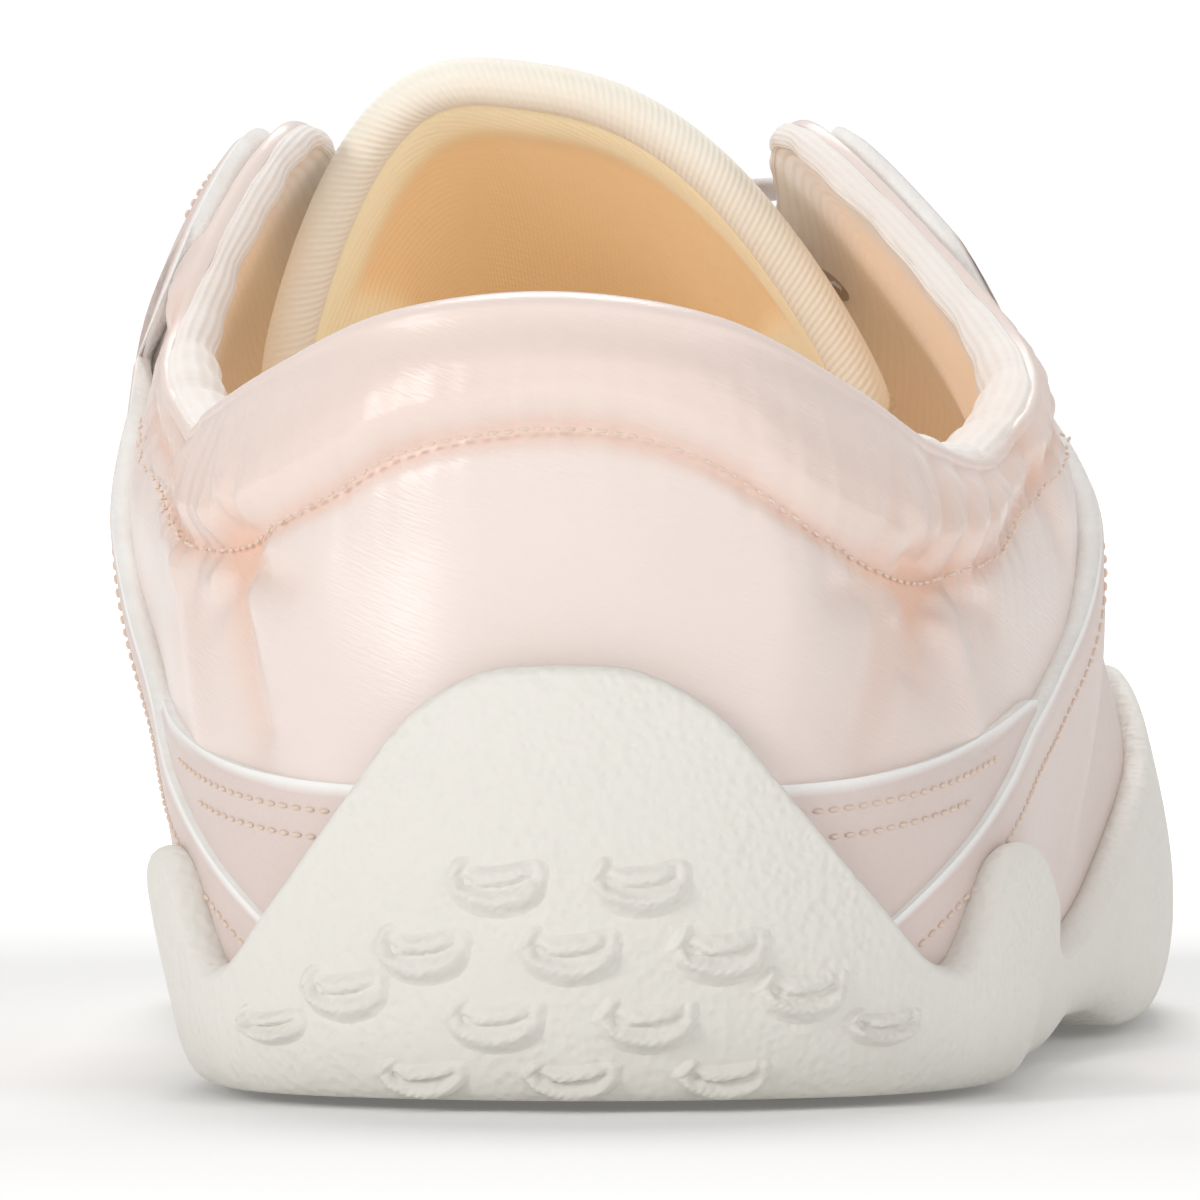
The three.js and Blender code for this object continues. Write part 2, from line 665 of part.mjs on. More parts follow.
function makeToeRand() {
  const range = (rib) => {
    const top = riseTo(rib, restHeight(rib) + TOE_RAND_RISE);
    return [tuckedIn(rib), Math.max(tuckedIn(rib), Math.min(top, saddleLow(rib) - TOE_RAND_APART))];
  };
  return overlay(ribsBetween(TOE_RAND_START, ALL_RIBS - TOE_RAND_START), range);
}

// Tongue: a padded arch with a thicker rolled top, slipped under the throat's edges
const tongueColumns = ["at", "half", "crown", "drop", "middle", "lean"];

// Value of one column at a share of the way up the tongue, eased through the rows.
function tongueValue(column, share) {
  const values = TONGUE_SECTIONS.map((row) => row[column]);
  const place = share * (values.length - 1);
  const i = Math.min(values.length - 2, Math.floor(place));
  const at = (k) => values[clamp(k, 0, values.length - 1)];
  const t = place - i;
  const [a, b, c, d] = [at(i - 1), at(i), at(i + 1), at(i + 2)];
  return b + 0.5 * t * (c - a + t * (2 * a - 5 * b + 4 * c - d + t * (3 * (b - c) + d - a)));
}

const EDGE_SETBACK = 5;

// Upper face of the tongue, across from -1 on the inner side to 1 on the outer
function tonguePoint(across, share) {
  const [at, half, crown, drop, middle, lean] = tongueColumns.map((column) => tongueValue(column, share));
  const bow = 1 - across ** 2;
  return new THREE.Vector3(
    middle + across * half - lean * bow,
    at + EDGE_SETBACK * share * across ** 2,
    crown - drop * Math.abs(across) ** TONGUE_ROUND - TONGUE_TILT * share * across * bow,
  );
}

function tongueNormal(across, share) {
  const [left, right] = [across - 0.01, across + 0.01].map((at) => tonguePoint(clamp(at, -1, 1), share));
  const [below, above] = [share - 0.01, share + 0.01].map((at) => tonguePoint(across, clamp(at, 0, 1)));
  return above.sub(below).cross(right.sub(left)).normalize();
}

const TONGUE_ACROSS = 12;
const TONGUE_ALONG = 10;

function makeTongue() {
  const patch = (depthAt) =>
    Array.from({ length: TONGUE_ACROSS + 1 }, (_, i) =>
      Array.from({ length: TONGUE_ALONG + 1 }, (__, j) => {
        const [across, share] = [(2 * i) / TONGUE_ACROSS - 1, j / TONGUE_ALONG];
        return tonguePoint(across, share).addScaledVector(tongueNormal(across, share), -depthAt(share));
      }),
    );
  const thickness = (share) => TONGUE_THICK + TONGUE_ROLL * smooth(share, 0.86, 0.95);
  return solidBetween(patch(() => 0), patch(thickness));
}

// Lace: flat strands that lie on the leather at each lace hole, bend over the throat's edge
// and cross the tongue
const LACE_CLEAR = 0.7;
const LACE_OVER_LEATHER = LEATHER + CURVED_GAP + LACE_CLEAR;
const LACE_OVER_EDGE = 2.2;
const LACE_OVER_TONGUE = 1.9;
const LACE_STEPS = 6;
const LACE_TOLERANCE = 0.05;

function laceAtHole(rib) {
  const { point, normal } = eyeletPlace(rib);
  return { point: point.addScaledVector(normal, LACE_OVER_LEATHER), normal };
}

function laceAtEdge(rib) {
  const rim = lastPoint(rib, 1);
  const out = lastNormal(rib, 1);
  const rising = lastPoint(rib, 1).sub(lastPoint(rib, 0.96)).normalize();
  const point = rim.addScaledVector(rising, LACE_OVER_EDGE).addScaledVector(out, LACE_OVER_LEATHER);
  return { point, normal: out.add(rising).normalize() };
}

function laceOverTongue(from, to) {
  const point = from.point.clone().lerp(to.point, 0.5);
  let share = 0;
  while (tonguePoint(0, share).y > point.y && share < 1) share += 0.01;
  point.z = Math.max(point.z, tonguePoint(0, share).z + LACE_OVER_TONGUE);
  return { point, normal: tongueNormal(0, share) };
}

function laceStrand(from, to) {
  const [start, end] = [laceAtEdge(from), laceAtEdge(to)];
  const stations = [laceAtHole(from), start, laceOverTongue(start, end), end, laceAtHole(to)];
  const route = new THREE.CatmullRomCurve3(stations.map((station) => station.point));
  const facing = new THREE.CatmullRomCurve3(stations.map((station) => station.normal));
  const sections = Array.from({ length: LACE_STEPS + 1 }, (_, i) => {
    const along = route.getTangent(i / LACE_STEPS);
    const wide = along.clone().cross(facing.getPoint(i / LACE_STEPS)).setLength(LACE_WIDTH / 2);
    const thick = wide.clone().cross(along).setLength(LACE_THICK);
    const point = route.getPoint(i / LACE_STEPS);
    const [left, right] = [point.clone().sub(wide), point.clone().add(wide)];
    return [left, right, right.clone().add(thick), left.clone().add(thick)];
  });
  return solidThrough(sections);
}

function makeLace() {
  const last = EYELET_RIBS.at(-1);
  const strands = [laceStrand(last, -last)];
  for (let i = 0; i + 1 < EYELET_RIBS.length; i++) {
    const [here, next] = [EYELET_RIBS[i], EYELET_RIBS[i + 1]];
    strands.push(laceStrand(here, -next), laceStrand(-here, next));
  }
  return strands.reduce((lace, strand) => lace.add(strand)).simplify(LACE_TOLERANCE);
}

addPiece("outsole", makeOutsole(), rubber);
addPiece("upper", makeUpper(), satin);
addPiece("insole", makeInsole(), foam);
addPiece("tongue", makeTongue(), knit);
addPiece("saddle_outer", makeSaddle(1), leather);
addPiece("saddle_inner", makeSaddle(-1), leather);
addPiece("heel_leather", makeHeelLeather(), leather);
addPiece("toe_rand", makeToeRand(), leather);
addPiece("lace", makeLace(), ribbon);

// The origin lies under the middle of the shoe's box.
const box = new THREE.Box3().setFromObject(shoe);
const middle = box.getCenter(new THREE.Vector3());
shoe.position.set(-middle.x, -middle.y, 0);

export default shoe;
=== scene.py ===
"""A pale satin ballet sneaker for the right foot, dressed over its CAD frame."""

import bmesh
import bpy
import numpy as np
from mathutils import Matrix, Vector


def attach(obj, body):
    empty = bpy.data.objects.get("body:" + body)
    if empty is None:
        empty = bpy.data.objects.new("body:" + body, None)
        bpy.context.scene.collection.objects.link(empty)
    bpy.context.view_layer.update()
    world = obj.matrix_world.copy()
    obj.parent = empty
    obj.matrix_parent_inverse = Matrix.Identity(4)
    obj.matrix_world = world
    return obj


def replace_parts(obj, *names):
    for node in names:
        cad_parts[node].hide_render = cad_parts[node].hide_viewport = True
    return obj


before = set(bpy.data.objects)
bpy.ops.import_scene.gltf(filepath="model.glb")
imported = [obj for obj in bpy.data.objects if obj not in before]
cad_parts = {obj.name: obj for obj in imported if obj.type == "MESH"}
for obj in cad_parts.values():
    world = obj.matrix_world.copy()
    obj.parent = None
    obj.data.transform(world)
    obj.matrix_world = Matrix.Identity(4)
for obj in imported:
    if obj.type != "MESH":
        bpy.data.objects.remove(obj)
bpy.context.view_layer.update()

# Camera.
# It stands a little over a metre behind the heel, just above the floor, and looks along the shoe, which is
# toed out by a few degrees. A long lens keeps the heel, the tongue and the floor line in one square frame.
eye = bpy.data.cameras.new("eye")
eye.lens = 390
eye.sensor_width = 36
eye.clip_start = 0.05
eye.clip_end = 60
camera = bpy.data.objects.new("camera", eye)
camera.location = (0.0533, -1.1258, 0.055)
toed_out = np.radians(-5 + 2.10)
looking_down = np.radians(0.87)
gaze = Vector((np.sin(toed_out), np.cos(toed_out), -np.tan(looking_down)))
camera.rotation_euler = gaze.to_track_quat("-Z", "Y").to_euler()
bpy.context.collection.objects.link(camera)
bpy.context.scene.camera = camera

# Upper.
# One piece of pale pink satin over thin foam, lasted on a right foot and pulled under at the sole. Round the
# collar an elastic gathers it into a padded band, held by a stitched line that draws in at two puckers.
BALL_WIDTH, LAST_LENGTH, INSTEP_HEIGHT, HEEL_CURVE = 79, 240, 79, 4.5
SOLE_REST, TOE_SPRING, SPRING_START, SPRING_POWER = 5.3, 9, 185, 1.8
TO_FRAME = (0.2082, -123.5066, 0)
FEET = {
    "at": [0, 1.5, 5.2, 11.9, 20.6, 31.3, 43, 54.5, 65.6, 75.8, 85, 92.6, 97.8, 100],
    "inner": [0, 18, 30.5, 36, 36, 35, 37, 42, 48, 51, 49, 41, 27, 8.5],
    "outer": [0, 18, 31, 38, 38.6, 40.2, 44.5, 50, 51, 49, 43, 32.5, 15, -8.5],
    "rise": [20, 20, 18, 16, 15, 17, 20, 18, 16, 15, 16, 19, 23, 24],
    "swell": [3, 3, 3, 4, 5, 6, 5, 4, 3.5, 3, 3, 3, 3, 3],
}
RIMS = {
    "at": [1.8, 2.7, 6.3, 12.3, 19.2, 26.6, 34.2, 43.9, 52.6, 60.2, 65.2, 67.8, 68.8, 69],
    "half": [0, 16.5, 28.5, 36, 41, 44.3, 28.6, 24.6, 18.5, 15.2, 11.5, 7, 3.2, 0],
    "height": [78.5, 76, 69.6, 64, 63, 74.5, 98.5, 91, 79, 69.6, 63.9, 61, 60, 59.6],
    "cone": [1.6, 1.6, 1.6, 1.8, 1, 1.5, 6.3, 6, 5.5, 4.5, 4, 3.5, 3.2, 3],
    "lift": [0, 0.6, 1.6, 2.6, 2, 1, 0, 0, 0, 0, 0, 0, 0, 0],
    "drop": [20, 18, 15, 13, 13, 16, 19, 14, 9, 6, 6, 6, 6, 6],
    "flare": [4, 4, 4, 4.5, 6, 9, 18, 20, 20, 24, 29, 34, 38, 40],
}
TOE_RIB = 13
ALL_RIBS = 26


def eased(x, low, high):
    t = np.clip((x - low) / (high - low), 0, 1)
    return t * t * (3 - 2 * t)


def spring(y):
    """How far the toe springs up off the floor at y."""
    past = np.maximum(0, y - SPRING_START) / (LAST_LENGTH + HEEL_CURVE - SPRING_START)
    return TOE_SPRING * past**SPRING_POWER


def last_rings():
    """The last's four rings of points: its feet on the sole, two rings of handles, and its rim."""
    turn = np.arange(ALL_RIBS)
    row = np.where(turn > TOE_RIB, ALL_RIBS - turn, turn)
    side = np.where(turn > TOE_RIB, -1, 1)
    foot_of = {name: np.array(column)[row] for name, column in FEET.items()}
    rim_of = {name: np.array(column)[row] for name, column in RIMS.items()}
    reach = np.where(side < 0, foot_of["inner"], foot_of["outer"]) / 100
    y = HEEL_CURVE + foot_of["at"] / 100 * LAST_LENGTH
    feet = np.stack([side * reach * BALL_WIDTH, y, SOLE_REST + spring(y)], 1)
    rims = np.stack(
        [
            side * rim_of["half"] / 100 * BALL_WIDTH - rim_of["cone"],
            HEEL_CURVE + rim_of["at"] / 100 * LAST_LENGTH,
            rim_of["height"] / 100 * INSTEP_HEIGHT + np.where(side < 0, rim_of["lift"], 0),
        ],
        1,
    )
    along = np.roll(feet, -1, 0) - np.roll(feet, 1, 0)
    out = unit(np.stack([along[:, 1], -along[:, 0], 0 * y], 1))
    up = np.array([0, 0, 1.0])
    low = feet + out * foot_of["swell"][:, None] + up * foot_of["rise"][:, None]
    high = rims + out * rim_of["flare"][:, None] - up * rim_of["drop"][:, None]
    return np.stack([feet, low, high, rims])


def unit(vectors):
    return vectors / np.maximum(np.linalg.norm(vectors, axis=-1, keepdims=True), 1e-9)


RINGS = last_rings()


def on_rings(rib):
    place = np.asarray(rib, float) % ALL_RIBS
    i = np.floor(place).astype(int) % ALL_RIBS
    t = (place - np.floor(place))[..., None]
    a, b, c, d = (RINGS[:, (i + k) % ALL_RIBS] for k in (-1, 0, 1, 2))
    return b + 0.5 * t * (c - a + t * (2 * a - 5 * b + 4 * c - d + t * (3 * (b - c) + d - a)))


def last_point(rib, v):
    rib, v = np.broadcast_arrays(np.asarray(rib, float), np.asarray(v, float))
    foot, low, high, rim = on_rings(rib)
    v = v[..., None]
    w = 1 - v
    return foot * w**3 + low * 3 * v * w * w + high * 3 * v * v * w + rim * v**3


def last_normal(rib, v):
    rib, v = np.broadcast_arrays(np.asarray(rib, float), np.asarray(v, float))
    around = last_point(rib + 0.01, v) - last_point(rib - 0.01, v)
    rising = last_point(rib, np.minimum(1, v + 0.01)) - last_point(rib, np.maximum(0, v - 0.01))
    return unit(np.cross(around, rising))


def from_heel(rib):
    turn = np.asarray(rib, float) % ALL_RIBS
    return np.minimum(turn, ALL_RIBS - turn)


def padding(rib, v):
    away = from_heel(rib)
    around = 1 - 0.75 * eased(away, 4.4, 5.5) - 0.25 * eased(away, 6.4, 7.6)
    return around * eased(v, 0.66, 0.86)


def upper_outside(rib, v, lift=0.0):
    return last_point(rib, v) + last_normal(rib, v) * (1.5 * padding(rib, v) + lift)[..., None]


def upper_inside(rib, v):
    return last_point(rib, v) - last_normal(rib, v) * (2 + 2.8 * padding(rib, v))[..., None]


def rise_to(rib, z):
    """How far up a rib, as v, the last reaches the height z."""
    low = np.zeros(np.broadcast(rib, z).shape)
    high = low + 0.9
    for _ in range(18):
        middle = (low + high) / 2
        below = last_point(rib, middle)[..., 2] < z
        low = np.where(below, middle, low)
        high = np.where(below, high, middle)
    return (low + high) / 2


def lengths_along(points):
    """How far along a row of points each one lies."""
    return np.concatenate([[0], np.cumsum(np.linalg.norm(np.diff(points, axis=0), axis=1))])


RIB_STEPS = np.linspace(0, ALL_RIBS, 1041)
RIB_LENGTHS = lengths_along(last_point(RIB_STEPS, 0.6))


def girth(rib):
    """Length round the last from the heel to a rib, in mm. The inner side counts down from 0."""
    rib = np.asarray(rib, float)
    return np.interp(rib % ALL_RIBS, RIB_STEPS, RIB_LENGTHS) + np.floor(rib / ALL_RIBS) * RIB_LENGTHS[-1]


def signed(rib):
    return (np.asarray(rib, float) + TOE_RIB) % ALL_RIBS - TOE_RIB


def from_rows(rows, x):
    """Value at x from rows of (x, value), eased from row to row."""
    xs, values = np.array(rows, float).T
    x = np.clip(x, xs[0], xs[-1])
    i = np.clip(np.searchsorted(xs, x), 1, len(xs) - 1)
    ease = (1 - np.cos(np.pi * (x - xs[i - 1]) / (xs[i] - xs[i - 1]))) / 2
    return values[i - 1] + (values[i] - values[i - 1]) * ease


def smooth_rows(rows, x):
    """Value at x from rows of (x, value), on a smooth curve through them."""
    xs, values = np.array(rows, float).T
    x = np.clip(x, xs[0], xs[-1])
    slopes = np.gradient(values, xs)
    i = np.clip(np.searchsorted(xs, x), 1, len(xs) - 1)
    wide = xs[i] - xs[i - 1]
    t = (x - xs[i - 1]) / wide
    start = (1 + 2 * t) * (1 - t) ** 2 * values[i - 1] + t * (1 - t) ** 2 * wide * slopes[i - 1]
    return start + t * t * (3 - 2 * t) * values[i] - t * t * (1 - t) * wide * slopes[i]


WELD = 2e-6


def in_frame(points):
    return (points + np.array(TO_FRAME)) / 1000


def finished(name, shape, material, mesh=None, smooth=True):
    """A piece from a bmesh in metres, with its finish, riding on the shoe."""
    mesh = mesh or bpy.data.meshes.new(name)
    shape.to_mesh(mesh)
    shape.free()
    if smooth:
        mesh.shade_smooth()
    mesh.materials.append(material)
    piece = bpy.data.objects.new(name, mesh)
    bpy.context.collection.objects.link(piece)
    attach(piece, "root")
    return piece


def laid(name, points, chart, material, marks=None):
    """A piece from rows and columns of points in mm. Its UV map is the chart, in tenths of a metre."""
    points, chart = np.asarray(points), np.asarray(chart)
    rows, columns = points.shape[:2]
    grid = bmesh.new()
    bmesh.ops.create_grid(grid, x_segments=columns - 1, y_segments=rows - 1, size=1)
    mesh = bpy.data.meshes.new(name)
    grid.to_mesh(mesh)
    flat = np.empty(3 * len(mesh.vertices))
    mesh.vertices.foreach_get("co", flat)
    column = np.rint((flat[0::3] + 1) / 2 * (columns - 1)).astype(int)
    row = np.rint((flat[1::3] + 1) / 2 * (rows - 1)).astype(int)
    mesh.vertices.foreach_set("co", in_frame(points[row, column]).ravel())
    corners = np.empty(len(mesh.loops), int)
    mesh.loops.foreach_get("vertex_index", corners)
    uv = mesh.uv_layers.new(name="Chart")
    uv.data.foreach_set("uv", chart[row, column][corners].ravel() / 100)
    for mark, values in (marks or {}).items():
        mesh.attributes.new(mark, "FLOAT", "POINT").data.foreach_set("value", np.asarray(values)[row, column])
    grid.clear()
    grid.from_mesh(mesh)
    bmesh.ops.remove_doubles(grid, verts=grid.verts, dist=WELD)
    return finished(name, grid, material, mesh)


def wall(piece, thickness, rim_material=None):
    """Gives a laid piece its thickness, inwards, in mm."""
    wall_of = piece.modifiers.new("Wall", "SOLIDIFY")
    wall_of.thickness = thickness / 1000
    wall_of.offset = -1
    wall_of.use_even_offset = False
    if rim_material:
        piece.data.materials.append(rim_material)
        wall_of.material_offset_rim = 1
    return piece


def material_of(name, color, roughness, **sockets):
    material = bpy.data.materials.new(name)
    material.use_nodes = True
    shader = material.node_tree.nodes["Principled BSDF"]
    shader.inputs["Base Color"].default_value = (*color, 1)
    shader.inputs["Roughness"].default_value = roughness
    for socket, value in sockets.items():
        shader.inputs[socket.replace("_", " ")].default_value = value
    return material


def node(tree, kind, links=None, **settings):
    made = tree.nodes.new(kind)
    for key, value in settings.items():
        if hasattr(made, key):
            setattr(made, key, value)
        else:
            made.inputs[key.replace("_", " ")].default_value = value
    for key, source in (links or {}).items():
        tree.links.new(source, made.inputs[key])
    return made


def worked(tree, operation, *values):
    """The result of one sum in a material, on sockets and numbers."""
    made = tree.nodes.new("ShaderNodeMath")
    made.operation = operation
    for socket, value in zip(made.inputs, values):
        if isinstance(value, bpy.types.NodeSocket):
            tree.links.new(value, socket)
        else:
            socket.default_value = value
    return made.outputs[0]


def blended(tree, share, first, second, blend="MIX"):
    """The colour that lies between two others, each a socket or a plain colour."""
    mix = node(tree, "ShaderNodeMix", {"Factor": share}, data_type="RGBA", blend_type=blend)
    for socket, color in ((mix.inputs[6], first), (mix.inputs[7], second)):
        if isinstance(color, tuple):
            socket.default_value = (*color, 1)
        else:
            tree.links.new(color, socket)
    return mix.outputs[2]


def on_shader(material, socket, source):
    tree = material.node_tree
    tree.links.new(source, tree.nodes["Principled BSDF"].inputs[socket])


def painted_value(tree, name):
    return node(tree, "ShaderNodeAttribute", attribute_name=name).outputs["Fac"]


def ranged(tree, value, low, high, first=0.0, last=1.0):
    """A value that runs from low to high while the given one runs from first to last."""
    made = node(tree, "ShaderNodeMapRange", {"Value": value}, From_Min=first, From_Max=last)
    made.inputs["To Min"].default_value = low
    made.inputs["To Max"].default_value = high
    return made.outputs["Result"]


def clouds(tree, scale, detail=2.0):
    """Noise in the shoe's own space, as a value. The scale is a number or a socket."""
    place = node(tree, "ShaderNodeTexCoord")
    made = node(tree, "ShaderNodeTexNoise", {"Vector": place.outputs["Object"]}, Detail=detail)
    if isinstance(scale, bpy.types.NodeSocket):
        tree.links.new(scale, made.inputs["Scale"])
    else:
        made.inputs["Scale"].default_value = scale
    return made.outputs["Fac"]


def effect(name, inputs, outputs):
    """An empty node group. Its inputs are named colours, given as None, or numbers."""
    group = bpy.data.node_groups.new(name, "ShaderNodeTree")
    for socket, value in inputs.items():
        kind = "NodeSocketColor" if value is None else "NodeSocketFloat"
        made = group.interface.new_socket(socket, in_out="INPUT", socket_type=kind)
        if value is not None:
            made.default_value = value
    for socket, kind in outputs.items():
        group.interface.new_socket(socket, in_out="OUTPUT", socket_type=kind)
    return group, group.nodes.new("NodeGroupInput"), group.nodes.new("NodeGroupOutput")


def mottling_effect():
    """Slow changes of tone over a surface, between two colours, with fine flecks."""
    inputs = {"Light": None, "Deep": None, "Scale": 20.0, "Amount": 0.5}
    group, given, out = effect("mottling", inputs, {"Color": "NodeSocketColor"})
    spread = ranged(group, clouds(group, given.outputs["Scale"], 4.0), 0.0, 1.0, 0.35, 0.68)
    part = worked(group, "MULTIPLY", spread, given.outputs["Amount"])
    tone = blended(group, part, given.outputs["Light"], given.outputs["Deep"])
    group.links.new(tone, out.inputs["Color"])
    return group


MOTTLING = mottling_effect()


def weave_effect():
    """Fine threads across and along the chart, as a height. Lengths are in mm on the chart."""
    inputs = {"Across": 0.35, "Along": 1.2, "Slant": 0.0}
    group, given, out = effect("weave", inputs, {"Height": "NodeSocketFloat"})
    chart = node(group, "ShaderNodeUVMap", uv_map="Chart")
    apart = node(group, "ShaderNodeSeparateXYZ", {0: chart.outputs["UV"]})
    slant = worked(group, "MULTIPLY", apart.outputs["X"], given.outputs["Slant"])
    lean = worked(group, "ADD", apart.outputs["Y"], slant)
    fine = worked(group, "DIVIDE", lean, given.outputs["Across"])
    long = worked(group, "DIVIDE", apart.outputs["X"], given.outputs["Along"])
    threads = node(group, "ShaderNodeCombineXYZ", {"X": long, "Y": fine})
    noise = node(group, "ShaderNodeTexNoise", {"Vector": threads.outputs[0]}, Scale=100.0)
    noise.inputs["Detail"].default_value = 2
    group.links.new(noise.outputs["Fac"], out.inputs["Height"])
    return group


WEAVE = weave_effect()


def shared(material, effect_group, **values):
    placed = material.node_tree.nodes.new("ShaderNodeGroup")
    placed.node_tree = effect_group
    for key, value in values.items():
        placed.inputs[key].default_value = (*value, 1) if isinstance(value, tuple) else value
    return placed


def bumped(material, height, strength, distance):
    """Feeds a height to the shader's normal. Distance is in mm."""
    bump = node(material.node_tree, "ShaderNodeBump", {"Height": height}, Strength=strength)
    bump.inputs["Distance"].default_value = distance / 1000
    on_shader(material, "Normal", bump.outputs["Normal"])


def satin_material():
    satin = material_of(
        "satin", (0.86, 0.72, 0.67), 0.36, Sheen_Weight=0.2, Sheen_Roughness=0.35, Specular_IOR_Level=0.5
    )
    tree = satin.node_tree
    light, deep = (0.85, 0.75, 0.705), (0.82, 0.69, 0.635)
    tone = shared(satin, MOTTLING, Light=light, Deep=deep, Scale=28.0, Amount=0.5)
    # Painted shade: the satin turns peach by the fold mark, in its troughs, round its puckers, along the
    # stitched line and over the band.
    painted_shade_tint = blended(tree, painted_value(tree, "fold"), tone.outputs["Color"], (0.84, 0.54, 0.41))
    on_shader(satin, "Base Color", painted_shade_tint)
    weave = shared(satin, WEAVE, Across=0.28, Along=1.6, Slant=0.35)
    on_shader(satin, "Roughness", ranged(tree, weave.outputs["Height"], 0.24, 0.4))
    bumped(satin, weave.outputs["Height"], 0.16, 0.25)
    return satin


SATIN = satin_material()

# Where the collar's stitched line runs, and how wide its band stands: (rib, height of the line in mm)
BAND_LINE = [
    (-13, 75), (-9, 75), (-6.6, 72), (-5.6, 63), (-4.8, 55), (-4, 48.5), (-3.2, 45),
    (-2.6, 43.4), (-2.14, 43.7), (-1.7, 45.6), (-1.3, 47.8), (-0.9, 50.6), (-0.4, 52.3), (0, 52.8),
    (0.4, 52.3), (0.9, 49.7), (1.5, 44.6), (1.9, 42.4), (2.38, 40.9), (2.9, 41.4), (3.5, 42.6),
    (4, 45.6), (4.6, 50.5), (5.2, 57), (5.8, 64), (6.6, 72), (9, 75), (13, 75),
]
# Troughs and ridges drawn on the satin: (rib, height) from, to, then height over the cloth, width
FOLDS = [
    ((-2.24, 42.5), (-1.9, 29.5), -1.5, 2.2),
    ((-2.9, 41.5), (-2.5, 28), 0.9, 4.0),
    ((-1.55, 41.5), (-1.35, 30), 0.8, 5.0),
    ((-2.14, 43.6), (-1.6, 41.0), -1.0, 2.0),
    ((-3.4, 54.5), (-3.0, 45.5), -1.6, 2.0),
    ((-4.3, 55.0), (-3.4, 47.5), -1.2, 2.2),
    ((-3.9, 46.5), (-2.9, 42.0), 0.8, 2.2),
    ((2.38, 39.8), (2.25, 34.5), -1.7, 2.4),
    ((2.02, 37.0), (1.72, 29.0), -0.9, 2.6),
    ((2.62, 37.5), (2.75, 30.0), 0.9, 3.2),
    ((2.3, 41.5), (1.6, 40.2), -0.9, 1.8),
    ((2.45, 41.5), (3.3, 38.6), -0.9, 1.9),
    ((2.55, 42.5), (2.9, 51.0), -0.8, 1.5),
    ((2.9, 42.5), (3.3, 50.0), -0.7, 1.3),
    ((3.3, 43.0), (3.7, 49.5), -0.7, 1.3),
    ((1.95, 43.2), (2.2, 51.0), -0.5, 1.6),
    ((1.3, 41.5), (1.15, 30.0), 0.6, 5.0),
    ((4.3, 52.5), (4.5, 44.0), -0.9, 2.4),
    ((4.6, 58.0), (4.0, 49.0), -0.9, 1.8),
    ((-5.2, 62.0), (-4.6, 50.0), -0.9, 2.4),
    ((9.6, 36.0), (10.4, 52.0), -0.8, 3.0),
    ((-9.6, 36.0), (-10.4, 52.0), -0.8, 3.0),
    ((10.6, 50.0), (12.2, 57.0), -0.6, 3.2),
    ((-10.6, 50.0), (-12.2, 57.0), -0.6, 3.2),
]
PUCKERS = [(-2.14, 43.4), (2.38, 40.4)]


def along_line(x, z, start, end):
    """Distance from a line between two places on the satin, and how far along it the nearest place is."""
    x0, x1 = girth(start[0]), girth(end[0])
    dx, dz = x1 - x0, end[1] - start[1]
    t = np.clip(((x - x0) * dx + (z - start[1]) * dz) / (dx * dx + dz * dz), 0, 1)
    return np.hypot(x - x0 - t * dx, z - start[1] - t * dz), t


def satin_relief(rib, v):
    """Height of the satin over the last's plain surface, in mm, and how much painted shade each place gets.
    """
    turn = signed(rib)
    z = last_point(rib, v)[..., 2]
    x = girth(turn)
    line = smooth_rows(BAND_LINE, turn)
    ankle = 1 - eased(from_heel(rib), 4.8, 6.4)
    over = z - line
    stitch = np.exp(-((over / 1.1) ** 2))
    puff = eased(over, 0, 3.4) * (1 - 0.35 * eased(over, 5, 9))
    height = ankle * (1.5 * puff - 0.55 * stitch)
    # Painted shade, along the stitched line, then over the band, in the troughs, round the puckers and on the
    # bulges beside them.
    painted_shade = ankle * stitch * 0.5
    pulls = np.sin(x * 2.1 + 3 * np.sin(x * 0.31)) * np.sin(x * 0.83 + 1)
    gathered = 0.16 + 0.34 * eased(from_heel(rib), 1.2, 2.6)
    height += ankle * gathered * pulls * (np.exp(-np.abs(over) / 2.6) + 0.25 * eased(over, 0, 2))
    painted_shade += ankle * (0.20 * puff + 0.12 * np.maximum(0, -pulls) * np.exp(-np.abs(over) / 2.6))
    for start, end, rise, width in FOLDS:
        away, t = along_line(x, z, start, end)
        shape = np.exp(-((away / width) ** 2)) * (1 - 0.55 * t)
        height += 1.25 * rise * shape
        painted_shade += np.maximum(0, -rise) * shape * 0.42
    for at, level in PUCKERS:
        away = np.hypot(x - girth(at), z - level)
        turned = np.arctan2(z - level, x - girth(at))
        rays = 0.35 * np.cos(7 * turned) * np.exp(-(((away - 4.5) / 3) ** 2))
        height += -1.6 * np.exp(-((away / 2.4) ** 2)) + rays
        painted_shade += 0.55 * np.exp(-((away / 2.6) ** 2))
    painted_shade += 0.3 * np.exp(-(((turn + 2.95) / 0.6) ** 2) - (((z - 37) / 11) ** 2))
    painted_shade += 0.14 * np.exp(-(((turn - 3.0) / 0.6) ** 2) - (((z - 37) / 9) ** 2))
    slack = np.sin(x * 0.19 + z * 0.11) * np.sin(z * 0.23 - x * 0.05)
    height += 0.22 * slack * eased(z, 12, 24) * (1 - eased(v, 0.9, 1))
    sunk = -0.8 - 0.3 * np.tanh((-0.8 - height) / 0.9)
    return np.where(height < -0.8, sunk, height), np.clip(painted_shade, 0, 1)


# How far over the rim the satin goes, in degrees from the outside: (ribs from the heel, degrees)
SATIN_OVER = [
    (0, 112), (1.9, 104), (2.9, 58), (3.6, 44), (4.6, 42), (5.4, 60), (6.3, 80), (7.4, 120), (13, 130),
]


def over_rim(rib, angle):
    """A place on the rim's roll, angle round from the outside, 0, to the inside, 180 degrees."""
    outside, inside = upper_outside(rib, 1), upper_inside(rib, 1)
    middle, half = (outside + inside) / 2, (outside - inside) / 2
    rising = unit(last_point(rib, 1) - last_point(rib, 0.98))
    thick = 0.62 * np.linalg.norm(half, axis=-1, keepdims=True)
    turn = np.radians(angle)[..., None]
    return middle + half * np.cos(turn) + rising * thick * np.sin(turn)


